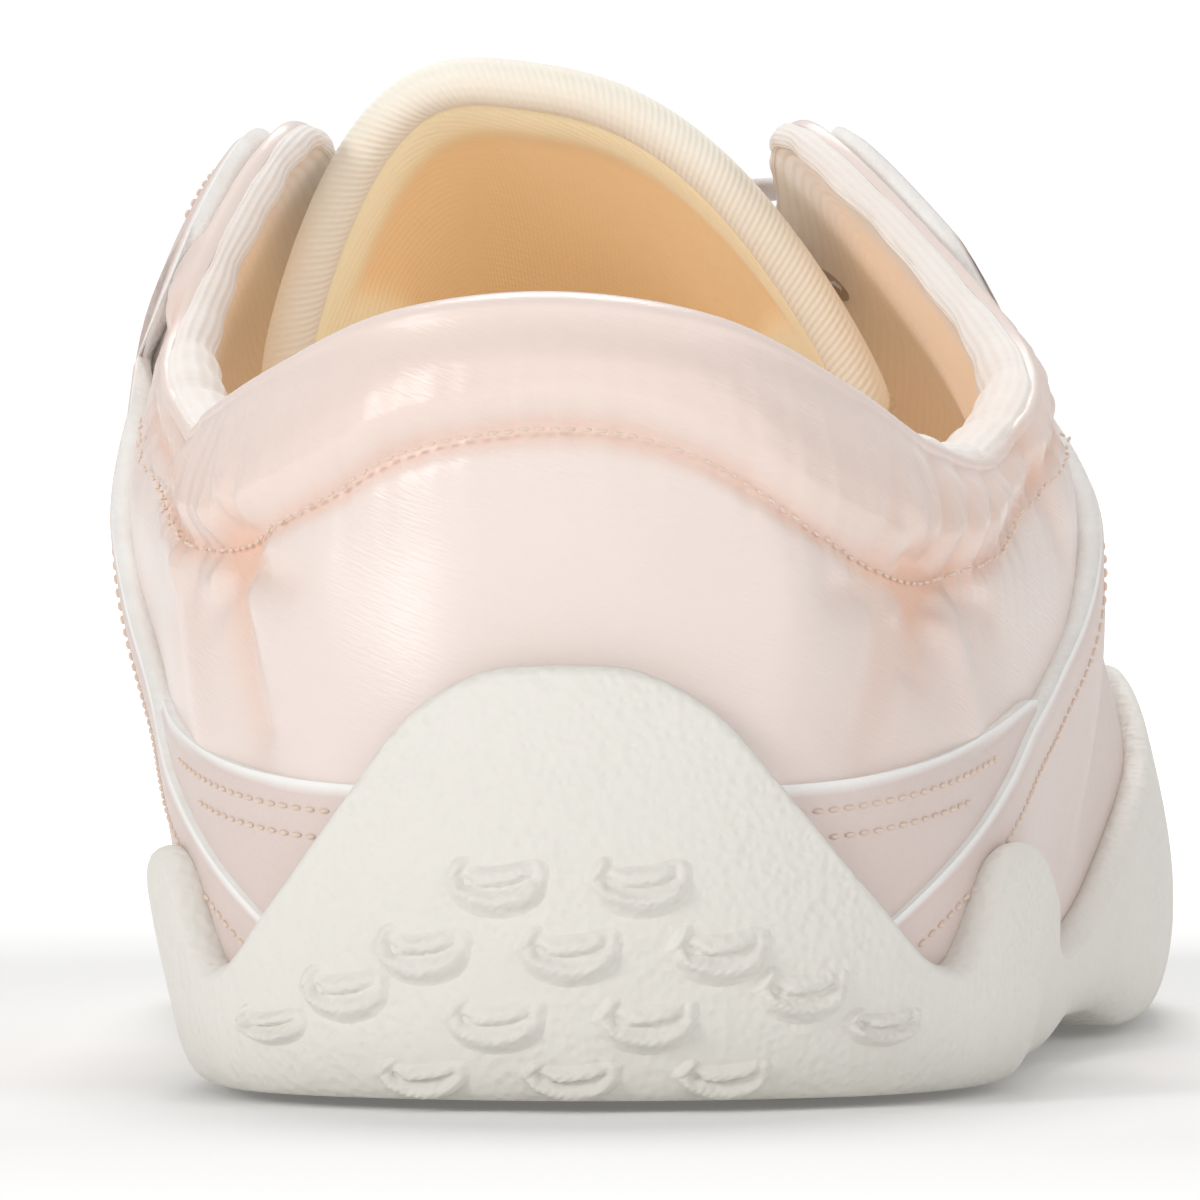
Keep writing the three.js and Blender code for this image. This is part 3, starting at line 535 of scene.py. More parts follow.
COLUMNS = 620
around = np.linspace(0, ALL_RIBS, COLUMNS + 1)
climb = np.concatenate([np.linspace(0, 0.5, 26), np.linspace(0.5, 1, 84)[1:]])
rows, charts, painted_shade_rows = [], [], []
for v in climb:
    # The second value is painted shade. The fold mark carries it into the satin's colour.
    relief, fold = satin_relief(around, v)
    relief = relief * (1 - 0.6 * eased(v, 0.93, 1)) * eased(v, 0.02, 0.12)
    base = last_point(around, v)
    keep = 1.5 * padding(around, v) * (0.35 + 0.65 * eased(from_heel(around), 4.8, 6.4))
    point = base + last_normal(around, v) * (keep + relief)[:, None]
    rows.append(point)
    charts.append(np.stack([girth(around), base[:, 2]], 1))
    painted_shade_rows.append(fold)
rows[0][:, 2] = SOLE_REST + spring(rows[0][:, 1])
rim_edge = rows[-1]
for share in np.linspace(0, 1, 15)[1:]:
    angle = from_rows(SATIN_OVER, from_heel(around)) * share
    point = over_rim(around, angle)
    point += (rim_edge - over_rim(around, 0)) * (1 - share) ** 2
    rows.append(point)
    charts.append(charts[-1] + np.array([0, 0.6]))
    painted_shade_rows.append(painted_shade_rows[-1] * 0.9)
upper = laid("upper_satin", rows, charts, SATIN, {"fold": painted_shade_rows})
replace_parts(wall(upper, 0.8), "upper")

# Collar lining.
# A white ribbed knit lines the inside of the upper. It comes over the rim at the dips of the collar as a soft
# tube, and lines the wings with ribs that run along the shoe.


CHART_TURN = 628.3


def knit_effect():
    """Ribs across the chart with the small stitches along each, as a height. The pitch is in mm."""
    inputs = {"Pitch": 1.2, "Turned": 0.0, "Stitch": 0.8}
    outputs = {"Height": "NodeSocketFloat", "Groove": "NodeSocketFloat"}
    group, given, out = effect("ribbed_knit", inputs, outputs)
    chart = node(group, "ShaderNodeUVMap", uv_map="Chart")
    apart = node(group, "ShaderNodeSeparateXYZ", {0: chart.outputs["UV"]})
    lean = worked(group, "MULTIPLY", apart.outputs["X"], given.outputs["Turned"])
    across = worked(group, "ADD", apart.outputs["Y"], lean)

    def wave(length, pitch):
        turns = worked(group, "MULTIPLY", worked(group, "DIVIDE", length, given.outputs[pitch]), CHART_TURN)
        return worked(group, "SINE", turns)

    rib, loop = wave(across, "Pitch"), wave(apart.outputs["X"], "Stitch")
    ribbed = worked(group, "ADD", rib, worked(group, "MULTIPLY", loop, 0.25))
    group.links.new(worked(group, "ADD", ribbed, clouds(group, 1400.0)), out.inputs["Height"])
    group.links.new(ranged(group, rib, 0.0, 1.0, 0.2, -1.0), out.inputs["Groove"])
    return group


KNIT = knit_effect()


def knit_material(name, light, deep, pitch, turned, stitch, depth, shading=0.25):
    knit = material_of(name, light, 0.9, Sheen_Weight=0.4, Sheen_Roughness=0.5, Specular_IOR_Level=0.25)
    tree = knit.node_tree
    tone = shared(knit, MOTTLING, Light=light, Deep=deep, Scale=34.0, Amount=0.5)
    ribs = shared(knit, KNIT, Pitch=pitch, Turned=turned, Stitch=stitch)
    # Painted shade: the grooves between the ribs are darkened toward the deep colour.
    shade = worked(tree, "MULTIPLY", ribs.outputs["Groove"], shading)
    on_shader(knit, "Base Color", blended(tree, shade, tone.outputs["Color"], deep))
    bumped(knit, ribs.outputs["Height"], 0.5, depth)
    return knit


def painted_glow(material, color):
    """Painted light: a faint glow of the cloth's own, standing in for daylight that comes through thin cloth.
    """
    shader = material.node_tree.nodes["Principled BSDF"]
    shader.inputs["Emission Color"].default_value = (*color, 1)
    shader.inputs["Emission Strength"].default_value = 1.0


LINING = knit_material("lining_knit", (0.93, 0.90, 0.87), (0.88, 0.76, 0.68), 0.8, 0.0, 0.9, 0.07, 0.3)
lining_tree = LINING.node_tree
deep_inside = painted_value(lining_tree, "deep")
plain_lining = lining_tree.nodes["Principled BSDF"].inputs["Base Color"].links[0].from_socket
# Deep inside, the lining turns warmer and darker, partly its own tan and partly painted warm shade, and it
# glows there with painted light.
tan_and_painted_shade_lining = blended(lining_tree, deep_inside, plain_lining, (0.98, 0.77, 0.62), "MULTIPLY")
on_shader(LINING, "Base Color", tan_and_painted_shade_lining)
painted_glow(LINING, (0, 0, 0))
on_shader(LINING, "Emission Color", blended(lining_tree, deep_inside, (0, 0, 0), (0.17, 0.14, 0.085)))

rows, charts, depths = [], [], []
for share in np.linspace(0, 1, 22):
    depths.append(0 * around)
    start = from_rows(SATIN_OVER, from_heel(around)) - 14
    angle = start + (180 - start) * share
    tube = np.exp(-(((from_heel(around) - 3.9) / 1.5) ** 2))
    tube += 0.4 * np.exp(-(((from_heel(around) - 5.9) / 0.7) ** 2))
    point = over_rim(around, angle)
    swell = unit(point - (over_rim(around, 0) + over_rim(around, 180)) / 2)
    puckered = np.sin(girth(around) * 0.95 + 2.2 * share) * np.sin(girth(around) * 0.31 + 1)
    tube_height = (1.35 * tube + 0.4 * puckered * (0.2 + tube)) * np.sin(np.pi * share) ** 0.8
    point = point + swell * (tube_height - 0.35 * (1 - share) ** 3)[:, None]
    rows.append(point)
    charts.append(np.stack([girth(around), 80 + 7 * share + 0 * around], 1))
rim_level = upper_inside(around, 1)[:, 2]
for v in np.linspace(1, 0.06, 60)[1:]:
    inside = upper_inside(around, v)
    rows.append(inside)
    # How deep each row lies below the rim, which sets its painted shade and glow.
    depths.append(eased(rim_level - inside[:, 2], 1.5, 9))
    charts.append(np.stack([girth(around), 87 + rim_level - inside[:, 2]], 1))
lining = laid("collar_lining", rows, charts, LINING, {"deep": depths})
wall(lining, 0.7)

# Insole.
# A thin board of foam under a tan cloth, glued to the floor of the rubber cup. Its edge follows the last.
SOLE_FLOOR, INSOLE_INSET = 5, 2.8
# The board from its middle along the bottom, round its edge and back over the top: (share, height in mm)
BOARD_SECTION = [
    (0, 0), (0.5, 0), (0.97, 0), (1, 0.5), (1, 2.3), (0.985, 2.8), (0.95, 3), (0.8, 3), (0.6, 3), (0.3, 3),
    (0, 3),
]
SPINE_START, SPINE_END = HEEL_CURVE + 26, HEEL_CURVE + LAST_LENGTH - 30
HALF_RIBS = np.linspace(0, TOE_RIB, 1301)
HALF_FEET = on_rings(HALF_RIBS)[0]
SPINE_X = (HALF_FEET[:, 0] + on_rings(-HALF_RIBS)[0][:, 0]) / 2


def spine_point(rib, share, level):
    """A point between the sole's middle line and its edge at a rib, on the face of height level(y)."""
    foot = on_rings(rib)[0]
    y = np.clip(foot[:, 1], SPINE_START, SPINE_END)
    middle = np.stack([np.interp(y, HALF_FEET[:, 1], SPINE_X), y], 1)
    at = middle + (foot[:, :2] - middle) * share
    return np.concatenate([at, level(at[:, 1])[:, None]], 1)


TAN_CLOTH = knit_material("insole_cloth", (0.80, 0.60, 0.40), (0.66, 0.44, 0.26), 0.9, 0.4, 0.9, 0.12)
rows = []
board = np.linspace(0, ALL_RIBS, 313)
edge_out = unit(last_normal(board, 0.05) * np.array([1, 1, 0]))
for share, lift in BOARD_SECTION:
    inner = spine_point(board, 0, lambda y: SOLE_REST + spring(y))
    edge = on_rings(board)[0] - edge_out * INSOLE_INSET
    point = inner + (edge - inner) * share
    point[:, 2] = SOLE_REST + spring(point[:, 1]) + lift
    rows.append(point)
rows = np.array(rows)
insole = laid("insole_board", rows, rows[..., :2], TAN_CLOTH)
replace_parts(insole, "insole")

# Outsole.
# A cup of off-white rubber, moulded in one piece with a fine pebble grain. Its edge climbs the heel in a tall
# tab, stands in a horn on each side of it, and wraps the ball in a high flap. Crescent lugs cover the heel.
LUG_HEIGHT, SOLE_WALL, SOLE_LIP, OVER_LEATHER = 0.9, 2.6, 2, 2.04
CORNER, FOOTPRINT_INSET, CORNER_HEIGHT, CORNER_FLATNESS, LIP_ROUNDING = 0.36, -2.2, 6.5, 0.9, 0.8
WAVES = [
    (0, 34.3), (0.4, 33.6), (0.7, 30.8), (1.05, 24.4), (1.5, 16.9), (1.95, 11.4), (2.15, 11.2), (2.55, 18.8),
    (2.85, 20), (3.3, 17), (4.3, 12), (5.7, 13.2), (6.7, 22), (7.6, 29.6), (8.5, 29.6), (10.6, 18), (13, 25),
]


def wave_height(rib):
    return smooth_rows(WAVES, from_heel(rib))


def underside(y):
    arch = eased(y, 80, 98) * (1 - eased(y, 112, 128))
    return LUG_HEIGHT + spring(y) + 2 * arch


def cup_floor(y):
    return SOLE_FLOOR + spring(y)


def on_wall(rib, z, lift):
    v = rise_to(rib, z)
    return last_point(rib, v) + last_normal(rib, v) * (lift + 0 * v)[..., None]


def sole_outside(rib, k):
    """The sole's outer face: its rounded corner up to k = CORNER, then its wall up to the lip at k = 1."""
    rib, k = np.broadcast_arrays(np.asarray(rib, float), np.asarray(k, float))
    foot = on_rings(rib)[0]
    ground = underside(foot[..., 1])
    share = np.maximum(0, (k - CORNER) / (1 - CORNER))
    low, high = ground + CORNER_HEIGHT, wave_height(rib) + spring(foot[..., 1]) - LIP_ROUNDING
    z = low + (high - low) * share
    thick = SOLE_WALL + (SOLE_LIP - SOLE_WALL) * eased(z, 12, 30)
    on_side = on_wall(rib, z, OVER_LEATHER + thick)
    out = unit(last_normal(rib, 0.05) * np.array([1, 1, 0]))
    start = foot - out * FOOTPRINT_INSET
    start[..., 2] = ground
    bulge = on_side.copy()
    bulge[..., 2] = ground + CORNER_FLATNESS
    bulge = bulge + (start - bulge) * 0.3
    t = np.clip(k / CORNER, 0, 1)[..., None]
    return start * (1 - t) ** 2 + bulge * 2 * t * (1 - t) + on_side * t * t


def rubber_material():
    rubber = material_of("rubber", (0.80, 0.79, 0.72), 0.62, Specular_IOR_Level=0.4)
    tree = rubber.node_tree
    light, deep = (0.81, 0.79, 0.74), (0.76, 0.74, 0.685)
    tone = shared(rubber, MOTTLING, Light=light, Deep=deep, Scale=16.0, Amount=0.5)
    place = node(tree, "ShaderNodeTexCoord")
    pebbles = node(tree, "ShaderNodeTexVoronoi", {"Vector": place.outputs["Object"]}, Scale=1150.0)
    pebbles.feature = "SMOOTH_F1"
    pebbles.inputs["Smoothness"].default_value = 0.6
    worn = clouds(tree, 90.0, 5.0)
    ground = node(tree, "ShaderNodeSeparateXYZ", {0: place.outputs["Object"]})
    # Darker towards the bottom, in patches.
    darker_low_patches = worked(tree, "MULTIPLY", ranged(tree, ground.outputs["Z"], 0.0, 1.0, 0.007, 0.0005), worn)
    on_shader(rubber, "Base Color", blended(tree, darker_low_patches, tone.outputs["Color"], (0.66, 0.64, 0.58)))
    on_shader(rubber, "Roughness", ranged(tree, worn, 0.52, 0.72))
    bumped(rubber, worked(tree, "MULTIPLY", pebbles.outputs["Distance"], worn), 0.85, 0.4)
    return rubber


RUBBER = rubber_material()
sole_ribs = np.linspace(0, ALL_RIBS, 521)
crest = wave_height(sole_ribs) + spring(on_rings(sole_ribs)[0][:, 1])
rest = SOLE_REST + spring(on_rings(sole_ribs)[0][:, 1])
rows = [spine_point(sole_ribs, share, underside) for share in (0, 0.2, 0.4, 0.55, 0.7, 0.85)]
climb = np.concatenate([np.linspace(0, CORNER, 15), np.linspace(CORNER, 1, 43)[1:]])
rows += [sole_outside(sole_ribs, k) for k in climb]
lip = rows[-1]
inner_lip = on_wall(sole_ribs, crest - LIP_ROUNDING, OVER_LEATHER - 0.5)
for angle in np.radians([30, 60, 90, 120, 150, 180]):
    point = (lip + inner_lip) / 2 + (lip - inner_lip) / 2 * np.cos(angle)
    point[:, 2] += 1.0 * np.sin(angle)
    rows.append(point)
bottom = rest + 0.3
for share in np.linspace(0.93, 0.12, 12):
    rows.append(on_wall(sole_ribs, bottom + (crest - bottom) * share, OVER_LEATHER - 0.5))
floor_edge = on_wall(sole_ribs, 0, OVER_LEATHER)
floor_edge[:, 2] = cup_floor(floor_edge[:, 1])
rows += [floor_edge] + [spine_point(sole_ribs, share, cup_floor) for share in (0.8, 0.6, 0.3, 0)]
rows = np.array(rows)
sole = laid("sole_cup", rows, rows[..., [1, 2]], RUBBER)
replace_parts(sole, "outsole")

BACK_ROWS = [
    {"count": 2, "height": 18, "pitch": 11, "ends": 0, "squash": 1},
    {"count": 3, "height": 12.7, "pitch": 11.4, "ends": 0, "squash": 1},
    {"count": 4, "height": 7.3, "pitch": 11.8, "ends": 2.2, "squash": 0.95},
    {"count": 5, "height": 2.9, "pitch": 12, "ends": 3.8, "squash": 0.66},
]


def lug_relief(x, y):
    """Height of one lug over the rubber, in mm: a smiling band, a bean above it, a pit and a short spur."""
    smile = y + 1.75 - 0.1 * (x - 0.1) ** 2
    band = 1.15 * np.exp(-((smile / 0.98) ** 2)) * (1 - eased(np.abs(x), 2.9, 4.9))
    curl = y - 0.3 - 0.055 * (x + 0.9) ** 2
    bean = 0.85 * np.exp(-(((x - 0.35) / 2.9) ** 4)) * eased(curl, -0.85, -0.45) * (1 - eased(curl, 0.1, 1.2))
    spur = 0.75 * np.exp(-(((x + 3.5 - 0.6 * (y - 0.9)) / 0.6) ** 2) - (((y - 0.9) / 1.15) ** 4))
    tip = 0.5 * np.exp(-(((x - 3.7) / 0.8) ** 2) - (((y - 0.9) / 0.9) ** 4))
    pit = 0.8 * np.exp(-(((x + 2.5) / 0.5) ** 2) - (((y + 0.15) / 0.42) ** 2))
    skirt = 0.2 * np.exp(-((x / 5.2) ** 4) - (((y + 0.4) / 2.9) ** 4))
    hatch = 0.09 * np.sin((x * 0.75 - y) * 9.0) * np.clip(band + bean, 0, 1)
    return np.maximum.reduce([band, bean, spur, tip]) - pit + skirt + hatch - 0.22


def lug_patch(place, scale, fineness):
    """Points of one lug: place(x, y) gives the sole's surface and its normal in mm."""
    x = np.linspace(-5.9, 5.9, 2 * fineness + 1) * scale
    y = np.linspace(-4.0, 3.8, int(1.35 * fineness) + 1) * scale
    across, up_lug = np.meshgrid(x, y)
    surface, normal = place(across.ravel(), up_lug.ravel())
    rise = lug_relief(across.ravel() / scale, up_lug.ravel() / scale)
    beside, above = np.abs(across.ravel()) / scale, np.abs(up_lug.ravel() / scale + 0.1)
    rim = np.maximum(beside / 5.9, above / 3.9)
    rise = rise - 0.25 * eased(rim, 0.86, 1)
    raised = surface + normal * rise[:, None]
    raised[:, 2] = np.maximum(raised[:, 2], 0.05)
    return raised.reshape(*across.shape, 3)


def joined(name, patches, material):
    """One piece from many grids of points."""
    whole = bmesh.new()
    for patch in patches:
        part = laid("patch", patch, patch[..., :2], material)
        whole.from_mesh(part.data)
        bpy.data.objects.remove(part)
    return finished(name, whole, material)


HEEL_RIBS, HEEL_KS = np.linspace(-4.2, 4.2, 421), np.linspace(0.0, 0.99, 120)
HEEL_TABLE = sole_outside(HEEL_RIBS[:, None] + 0 * HEEL_KS, HEEL_KS + 0 * HEEL_RIBS[:, None])
BELT = HEEL_TABLE[:, 46]
BELT_LENGTHS = lengths_along(BELT)
BELT_LENGTHS -= np.interp(0, HEEL_RIBS, BELT_LENGTHS)


def on_heel(x0, z0, squash):
    """Places round (x0, z0) on the heel's back, as seen from behind, for one lug."""
    centre = np.interp(x0, BELT[50:371, 0], BELT_LENGTHS[50:371])

    def place(x, y):
        rib = np.interp(centre + x, BELT_LENGTHS, HEEL_RIBS)
        column = np.rint(np.interp(rib, HEEL_RIBS, np.arange(len(HEEL_RIBS)))).astype(int)
        levels = z0 + y * squash
        k = np.array([np.interp(z, HEEL_TABLE[i, :, 2], HEEL_KS) for z, i in zip(levels, column)])
        surface = sole_outside(rib, k)
        along = sole_outside(rib + 0.03, k) - sole_outside(rib - 0.03, k)
        rise = sole_outside(rib, np.minimum(1, k + 0.02)) - sole_outside(rib, np.maximum(0, k - 0.02))
        return surface, unit(np.cross(along, rise))

    return place


heel_lugs = []
for row in BACK_ROWS:
    for j in range(row["count"]):
        lifted = row["ends"] if j in (0, row["count"] - 1) else 0
        x = (j - (row["count"] - 1) / 2) * row["pitch"]
        heel_lugs.append(lug_patch(on_heel(x, row["height"] + lifted, row["squash"]), 0.9, 26))
joined("heel_lugs", heel_lugs, RUBBER)

UNDER_ROWS = [(24, 3), (44, 4), (64, 3), (132, 4), (152, 5), (172, 4), (192, 5), (212, 4)]
UNDER_PITCH, UNDER_SCALE = 14, 1.25
under = []
for at, count in UNDER_ROWS:
    for j in range(count):
        x0 = np.interp(at, HALF_FEET[:, 1], SPINE_X) + (j - (count - 1) / 2) * UNDER_PITCH

        def on_tread(x, y, x0=x0, at=at):
            level = underside(at + y)
            slope = underside(at + y + 0.5) - underside(at + y - 0.5)
            normal = unit(np.stack([0 * x, slope, -1 + 0 * x], 1))
            return np.stack([x0 - x, at + y, level], 1), normal

        under.append(lug_patch(on_tread, UNDER_SCALE, 12))
joined("tread_lugs", under, RUBBER)

# Leather.
# Smooth pink-beige leather overlays, cut with a white raw edge and lock-stitched a few millimetres in. They
# are a saddle on each side, a low band round the heel, and a rand round the toe.
LEATHER_THICK, LEATHER_GAP, LEATHER_TUCK = 1.2, 0.42, 3.5
SADDLE_TOP = 0.975
# The saddle's cut behind the ankle, and the heel band's upper cut: (ribs from the heel, height in mm)
SADDLE_BACK = [(1.55, 12.5), (2.1, 17.4), (2.75, 22.8), (3.4, 28), (4.1, 33), (4.6, 39), (5, 46.5), (5.5, 56)]
HEEL_TOP = [(0, 25), (1.5, 25.6), (3.7, 31)]


def leather_material():
    leather = material_of(
        "leather", (0.80, 0.69, 0.64), 0.5, Coat_Weight=0.12, Coat_Roughness=0.35, Specular_IOR_Level=0.45
    )
    tree = leather.node_tree
    light, deep = (0.75, 0.64, 0.60), (0.70, 0.575, 0.53)
    tone = shared(leather, MOTTLING, Light=light, Deep=deep, Scale=40.0, Amount=0.6)
    pale = blended(tree, painted_value(tree, "cut"), tone.outputs["Color"], (0.93, 0.92, 0.90))
    on_shader(leather, "Base Color", pale)
    place = node(tree, "ShaderNodeTexCoord")
    pores = node(tree, "ShaderNodeTexVoronoi", {"Vector": place.outputs["Object"]}, Scale=1500.0)
    crinkle = clouds(tree, 420.0, 6.0)
    on_shader(leather, "Roughness", ranged(tree, crinkle, 0.42, 0.6))
    bumped(leather, worked(tree, "ADD", pores.outputs["Distance"], crinkle), 0.18, 0.2)
    return leather


def raw_edge_material():
    raw = material_of("raw_edge", (0.90, 0.89, 0.86), 0.85)
    tone = shared(raw, MOTTLING, Light=(0.92, 0.91, 0.885), Deep=(0.84, 0.80, 0.76), Scale=300.0, Amount=0.6)
    on_shader(raw, "Base Color", tone.outputs["Color"])
    bumped(raw, clouds(raw.node_tree, 1600.0), 0.4, 0.3)
    return raw


LEATHER, RAW_EDGE = leather_material(), raw_edge_material()


def tucked_in(rib):
    return rise_to(rib, SOLE_REST + spring(on_rings(rib)[0][..., 1]) + LEATHER_TUCK)


def overlay(name, ribs, reach, steps, node_name, layer=0.0):
    """Leather over the given ribs. reach(rib) gives its lowest and highest v, and layer lifts it, in mm."""
    low, high = reach(ribs)
    near_cut = [0.004, 0.008, 0.014, 0.022, 0.978, 0.986, 0.992, 0.996]
    shares = np.sort(np.concatenate([np.linspace(0, 1, steps - len(near_cut)), near_cut]))[:, None]
    v = low + (high - low) * shares
    rib = ribs + 0 * v
    at = last_point(rib, v)
    gone = np.cumsum(np.linalg.norm(np.diff(at, axis=0, prepend=at[:1]), axis=-1), 0)
    from_top = gone[-1] - gone
    from_low = gone + 9 * (low <= tucked_in(ribs) + 0.004)
    edge = np.minimum(from_top, from_low)
    lift = LEATHER_GAP + LEATHER_THICK + layer + 0.3 * eased(edge, 0, 1.1) - 0.3
    points = upper_outside(rib, v, lift)
    chart = np.stack([girth(rib), at[..., 2]], -1)
    piece = laid(name, points, chart, LEATHER, {"cut": 1 - eased(edge, 0.3, 0.75)})
    wall(piece, LEATHER_THICK + 0.75 + layer, RAW_EDGE)
    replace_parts(piece, node_name)
    return piece


def saddle_low(rib):
    low = tucked_in(rib)
    return low + (SADDLE_TOP - low) * np.clip((from_heel(rib) - 7.4) / (11.6 - 7.4), 0, 1) ** 0.85


def saddle_reach(rib):
    away = from_heel(rib)
    rear = np.where(away < 5.5, rise_to(rib, smooth_rows(SADDLE_BACK, away)), SADDLE_TOP)
    blend = eased(away, 5.44, 5.56)
    rear = rear * (1 - blend) + SADDLE_TOP * blend
    return saddle_low(rib), np.maximum(saddle_low(rib) + 0.002, rear)


def heel_reach(rib):
    away = from_heel(rib)
    behind = np.where(away > 1.55, smooth_rows(SADDLE_BACK, away) - 3.0, 0)
    low = np.maximum(tucked_in(rib), rise_to(rib, behind))
    return low, np.maximum(low + 0.002, rise_to(rib, smooth_rows(HEEL_TOP, away)))


def toe_reach(rib):
    low = tucked_in(rib)
    top = rise_to(rib, SOLE_REST + spring(on_rings(rib)[0][..., 1]) + 27)
    return low, np.maximum(low + 0.002, np.minimum(top, saddle_low(rib) + 0.03))


for side, name in ((1, "saddle_outer"), (-1, "saddle_inner")):
    ribs = np.linspace(1.7, 11.6, 250) * side
    overlay(name + "_leather", np.sort(ribs), saddle_reach, 46, name, 0.3)
overlay("heel_band", np.linspace(-3.9, 3.9, 220), heel_reach, 24, "heel_leather", -0.55)
overlay("toe_leather", np.linspace(7.5, 18.5, 300), toe_reach, 32, "toe_rand", -0.45)

THREAD = material_of("thread", (0.88, 0.70, 0.58), 0.6, Sheen_Weight=0.3)
twist = node(THREAD.node_tree, "ShaderNodeTexNoise", Scale=2600.0)
bumped(THREAD, twist.outputs["Fac"], 0.4, 0.2)


def along_row(distance, gone, values):
    return np.stack([np.interp(distance, gone, values[:, k]) for k in range(3)], -1)


def stitched(name, points, normals, pitch, length, thick, material):
    """A row of single stitches along points in mm, each a short rounded thread pulled into the surface."""
    gone = lengths_along(points)
    row = bmesh.new()
    for i in range(int(gone[-1] / pitch)):
        middle = (i + 0.5) * pitch
        at, start, end = (along_row(middle + k * length, gone, points) for k in (0, -0.5, 0.5))
        out = unit(along_row(middle, gone, normals))
        along = unit(end - start)
        side = np.cross(out, along)
        basis = Matrix(np.stack([along * length / 2, side * thick / 2, out * thick / 2], 1).tolist()).to_4x4()
        basis.translation = Vector((at + out * 0.08).tolist())
        bmesh.ops.create_uvsphere(row, u_segments=8, v_segments=6, radius=1, matrix=basis)
    for vertex in row.verts:
        vertex.co = Vector(in_frame(np.array(vertex.co)).tolist())
    return finished(name, row, material)


def seam_on_leather(name, ribs, v, layer=0.3):
    lift = LEATHER_GAP + LEATHER_THICK + layer
    points, normals = upper_outside(ribs, v, lift), last_normal(ribs, v)
    return stitched(name, points, normals, 1.5, 1.05, 0.42, THREAD)


for side, name in ((1, "outer"), (-1, "inner")):
    ribs = np.linspace(1.95, 5.35, 240)
    behind = rise_to(ribs * side, smooth_rows(SADDLE_BACK, ribs) - 3.6)
    seam_on_leather("saddle_seam_" + name, ribs * side, behind)
    throat = np.linspace(5.7, 11.3, 200)
    seam_on_leather("throat_seam_" + name, throat * side, SADDLE_TOP - 0.055 - 0.02 * eased(throat, 8, 11))
    front = np.linspace(8.2, 11.2, 140)
    seam_on_leather("saddle_front_seam_" + name, front * side, saddle_reach(front * side)[0] + 0.045)
    for k, drop in enumerate((2.2, 4.3)):
        band = np.linspace(1.15, 3.55, 120)
        band = band[smooth_rows(HEEL_TOP, band) - drop > smooth_rows(SADDLE_BACK, band) + 2]
        line = rise_to(band * side, smooth_rows(HEEL_TOP, band) - drop)
        seam_on_leather("heel_seam_%s_%d" % (name, k), band * side, line, -0.55)
toe = np.linspace(9.9, 16.1, 260)
seam_on_leather("toe_seam", toe, rise_to(toe, SOLE_REST + spring(on_rings(toe)[0][:, 1]) + 24.6), -0.45)
ankle = np.linspace(-4.9, 4.9, 420)
line_v = rise_to(ankle, smooth_rows(BAND_LINE, ankle))
relief = satin_relief(ankle, line_v)[0]
points = upper_outside(ankle, line_v) + last_normal(ankle, line_v) * (relief - 0.05)[:, None]
stitched("collar_seam", points, last_normal(ankle, line_v), 1.25, 0.85, 0.32, THREAD)

# Tongue.
# A wide arch of cream knit over foam, slipped under the throat. Its top is bound in a thick ribbed roll, and
# its inner face is lined with a peach-tan knit.
TONGUE_THICK, TONGUE_LINED, EDGE_SETBACK, TONGUE_ROUND, TONGUE_TILT = 3.6, 1.4, 5, 2.65, 3.6
TONGUE = {
    "at": [178, 160, 140, 121, 105, 92],
    "half": [14, 16.5, 19, 19, 21, 27.6],
    "crown": [43.2, 47.2, 55, 65, 75, 83.4],
    "drop": [4, 6.5, 10, 13, 17.5, 29],
    "middle": [-3.5, -4, -4.6, -4, -3.6, -4.6],
    "lean": [0, 0.5, 1, 2, 3, 3.8],
}


def tongue_value(column, share):
    values = np.array(TONGUE[column], float)
    place = np.clip(share, 0, 1) * (len(values) - 1)
    i = np.minimum(len(values) - 2, np.floor(place).astype(int))
    t = place - i
    a, b, c, d = (values[np.clip(i + k, 0, len(values) - 1)] for k in (-1, 0, 1, 2))
    return b + 0.5 * t * (c - a + t * (2 * a - 5 * b + 4 * c - d + t * (3 * (b - c) + d - a)))


def tongue_point(across, share):
    """Upper face of the tongue, across from -1 on the inner side to 1 on the outer, share 1 at its top."""
    bow = 1 - across**2
    x = tongue_value("middle", share) + across * tongue_value("half", share)
    x = x - tongue_value("lean", share) * bow
    y = tongue_value("at", share) + EDGE_SETBACK * share * across**2
    z = tongue_value("crown", share) - tongue_value("drop", share) * np.abs(across) ** TONGUE_ROUND
    return np.stack([x, y, z - TONGUE_TILT * share * across * bow], -1)


def tongue_normal(across, share):
    outer, inner = np.minimum(1, across + 0.01), np.maximum(-1, across - 0.01)
    upper, lower = np.minimum(1, share + 0.01), np.maximum(0, share - 0.01)
    wide = tongue_point(outer, share) - tongue_point(inner, share)
    return unit(np.cross(tongue_point(across, upper) - tongue_point(across, lower), wide))


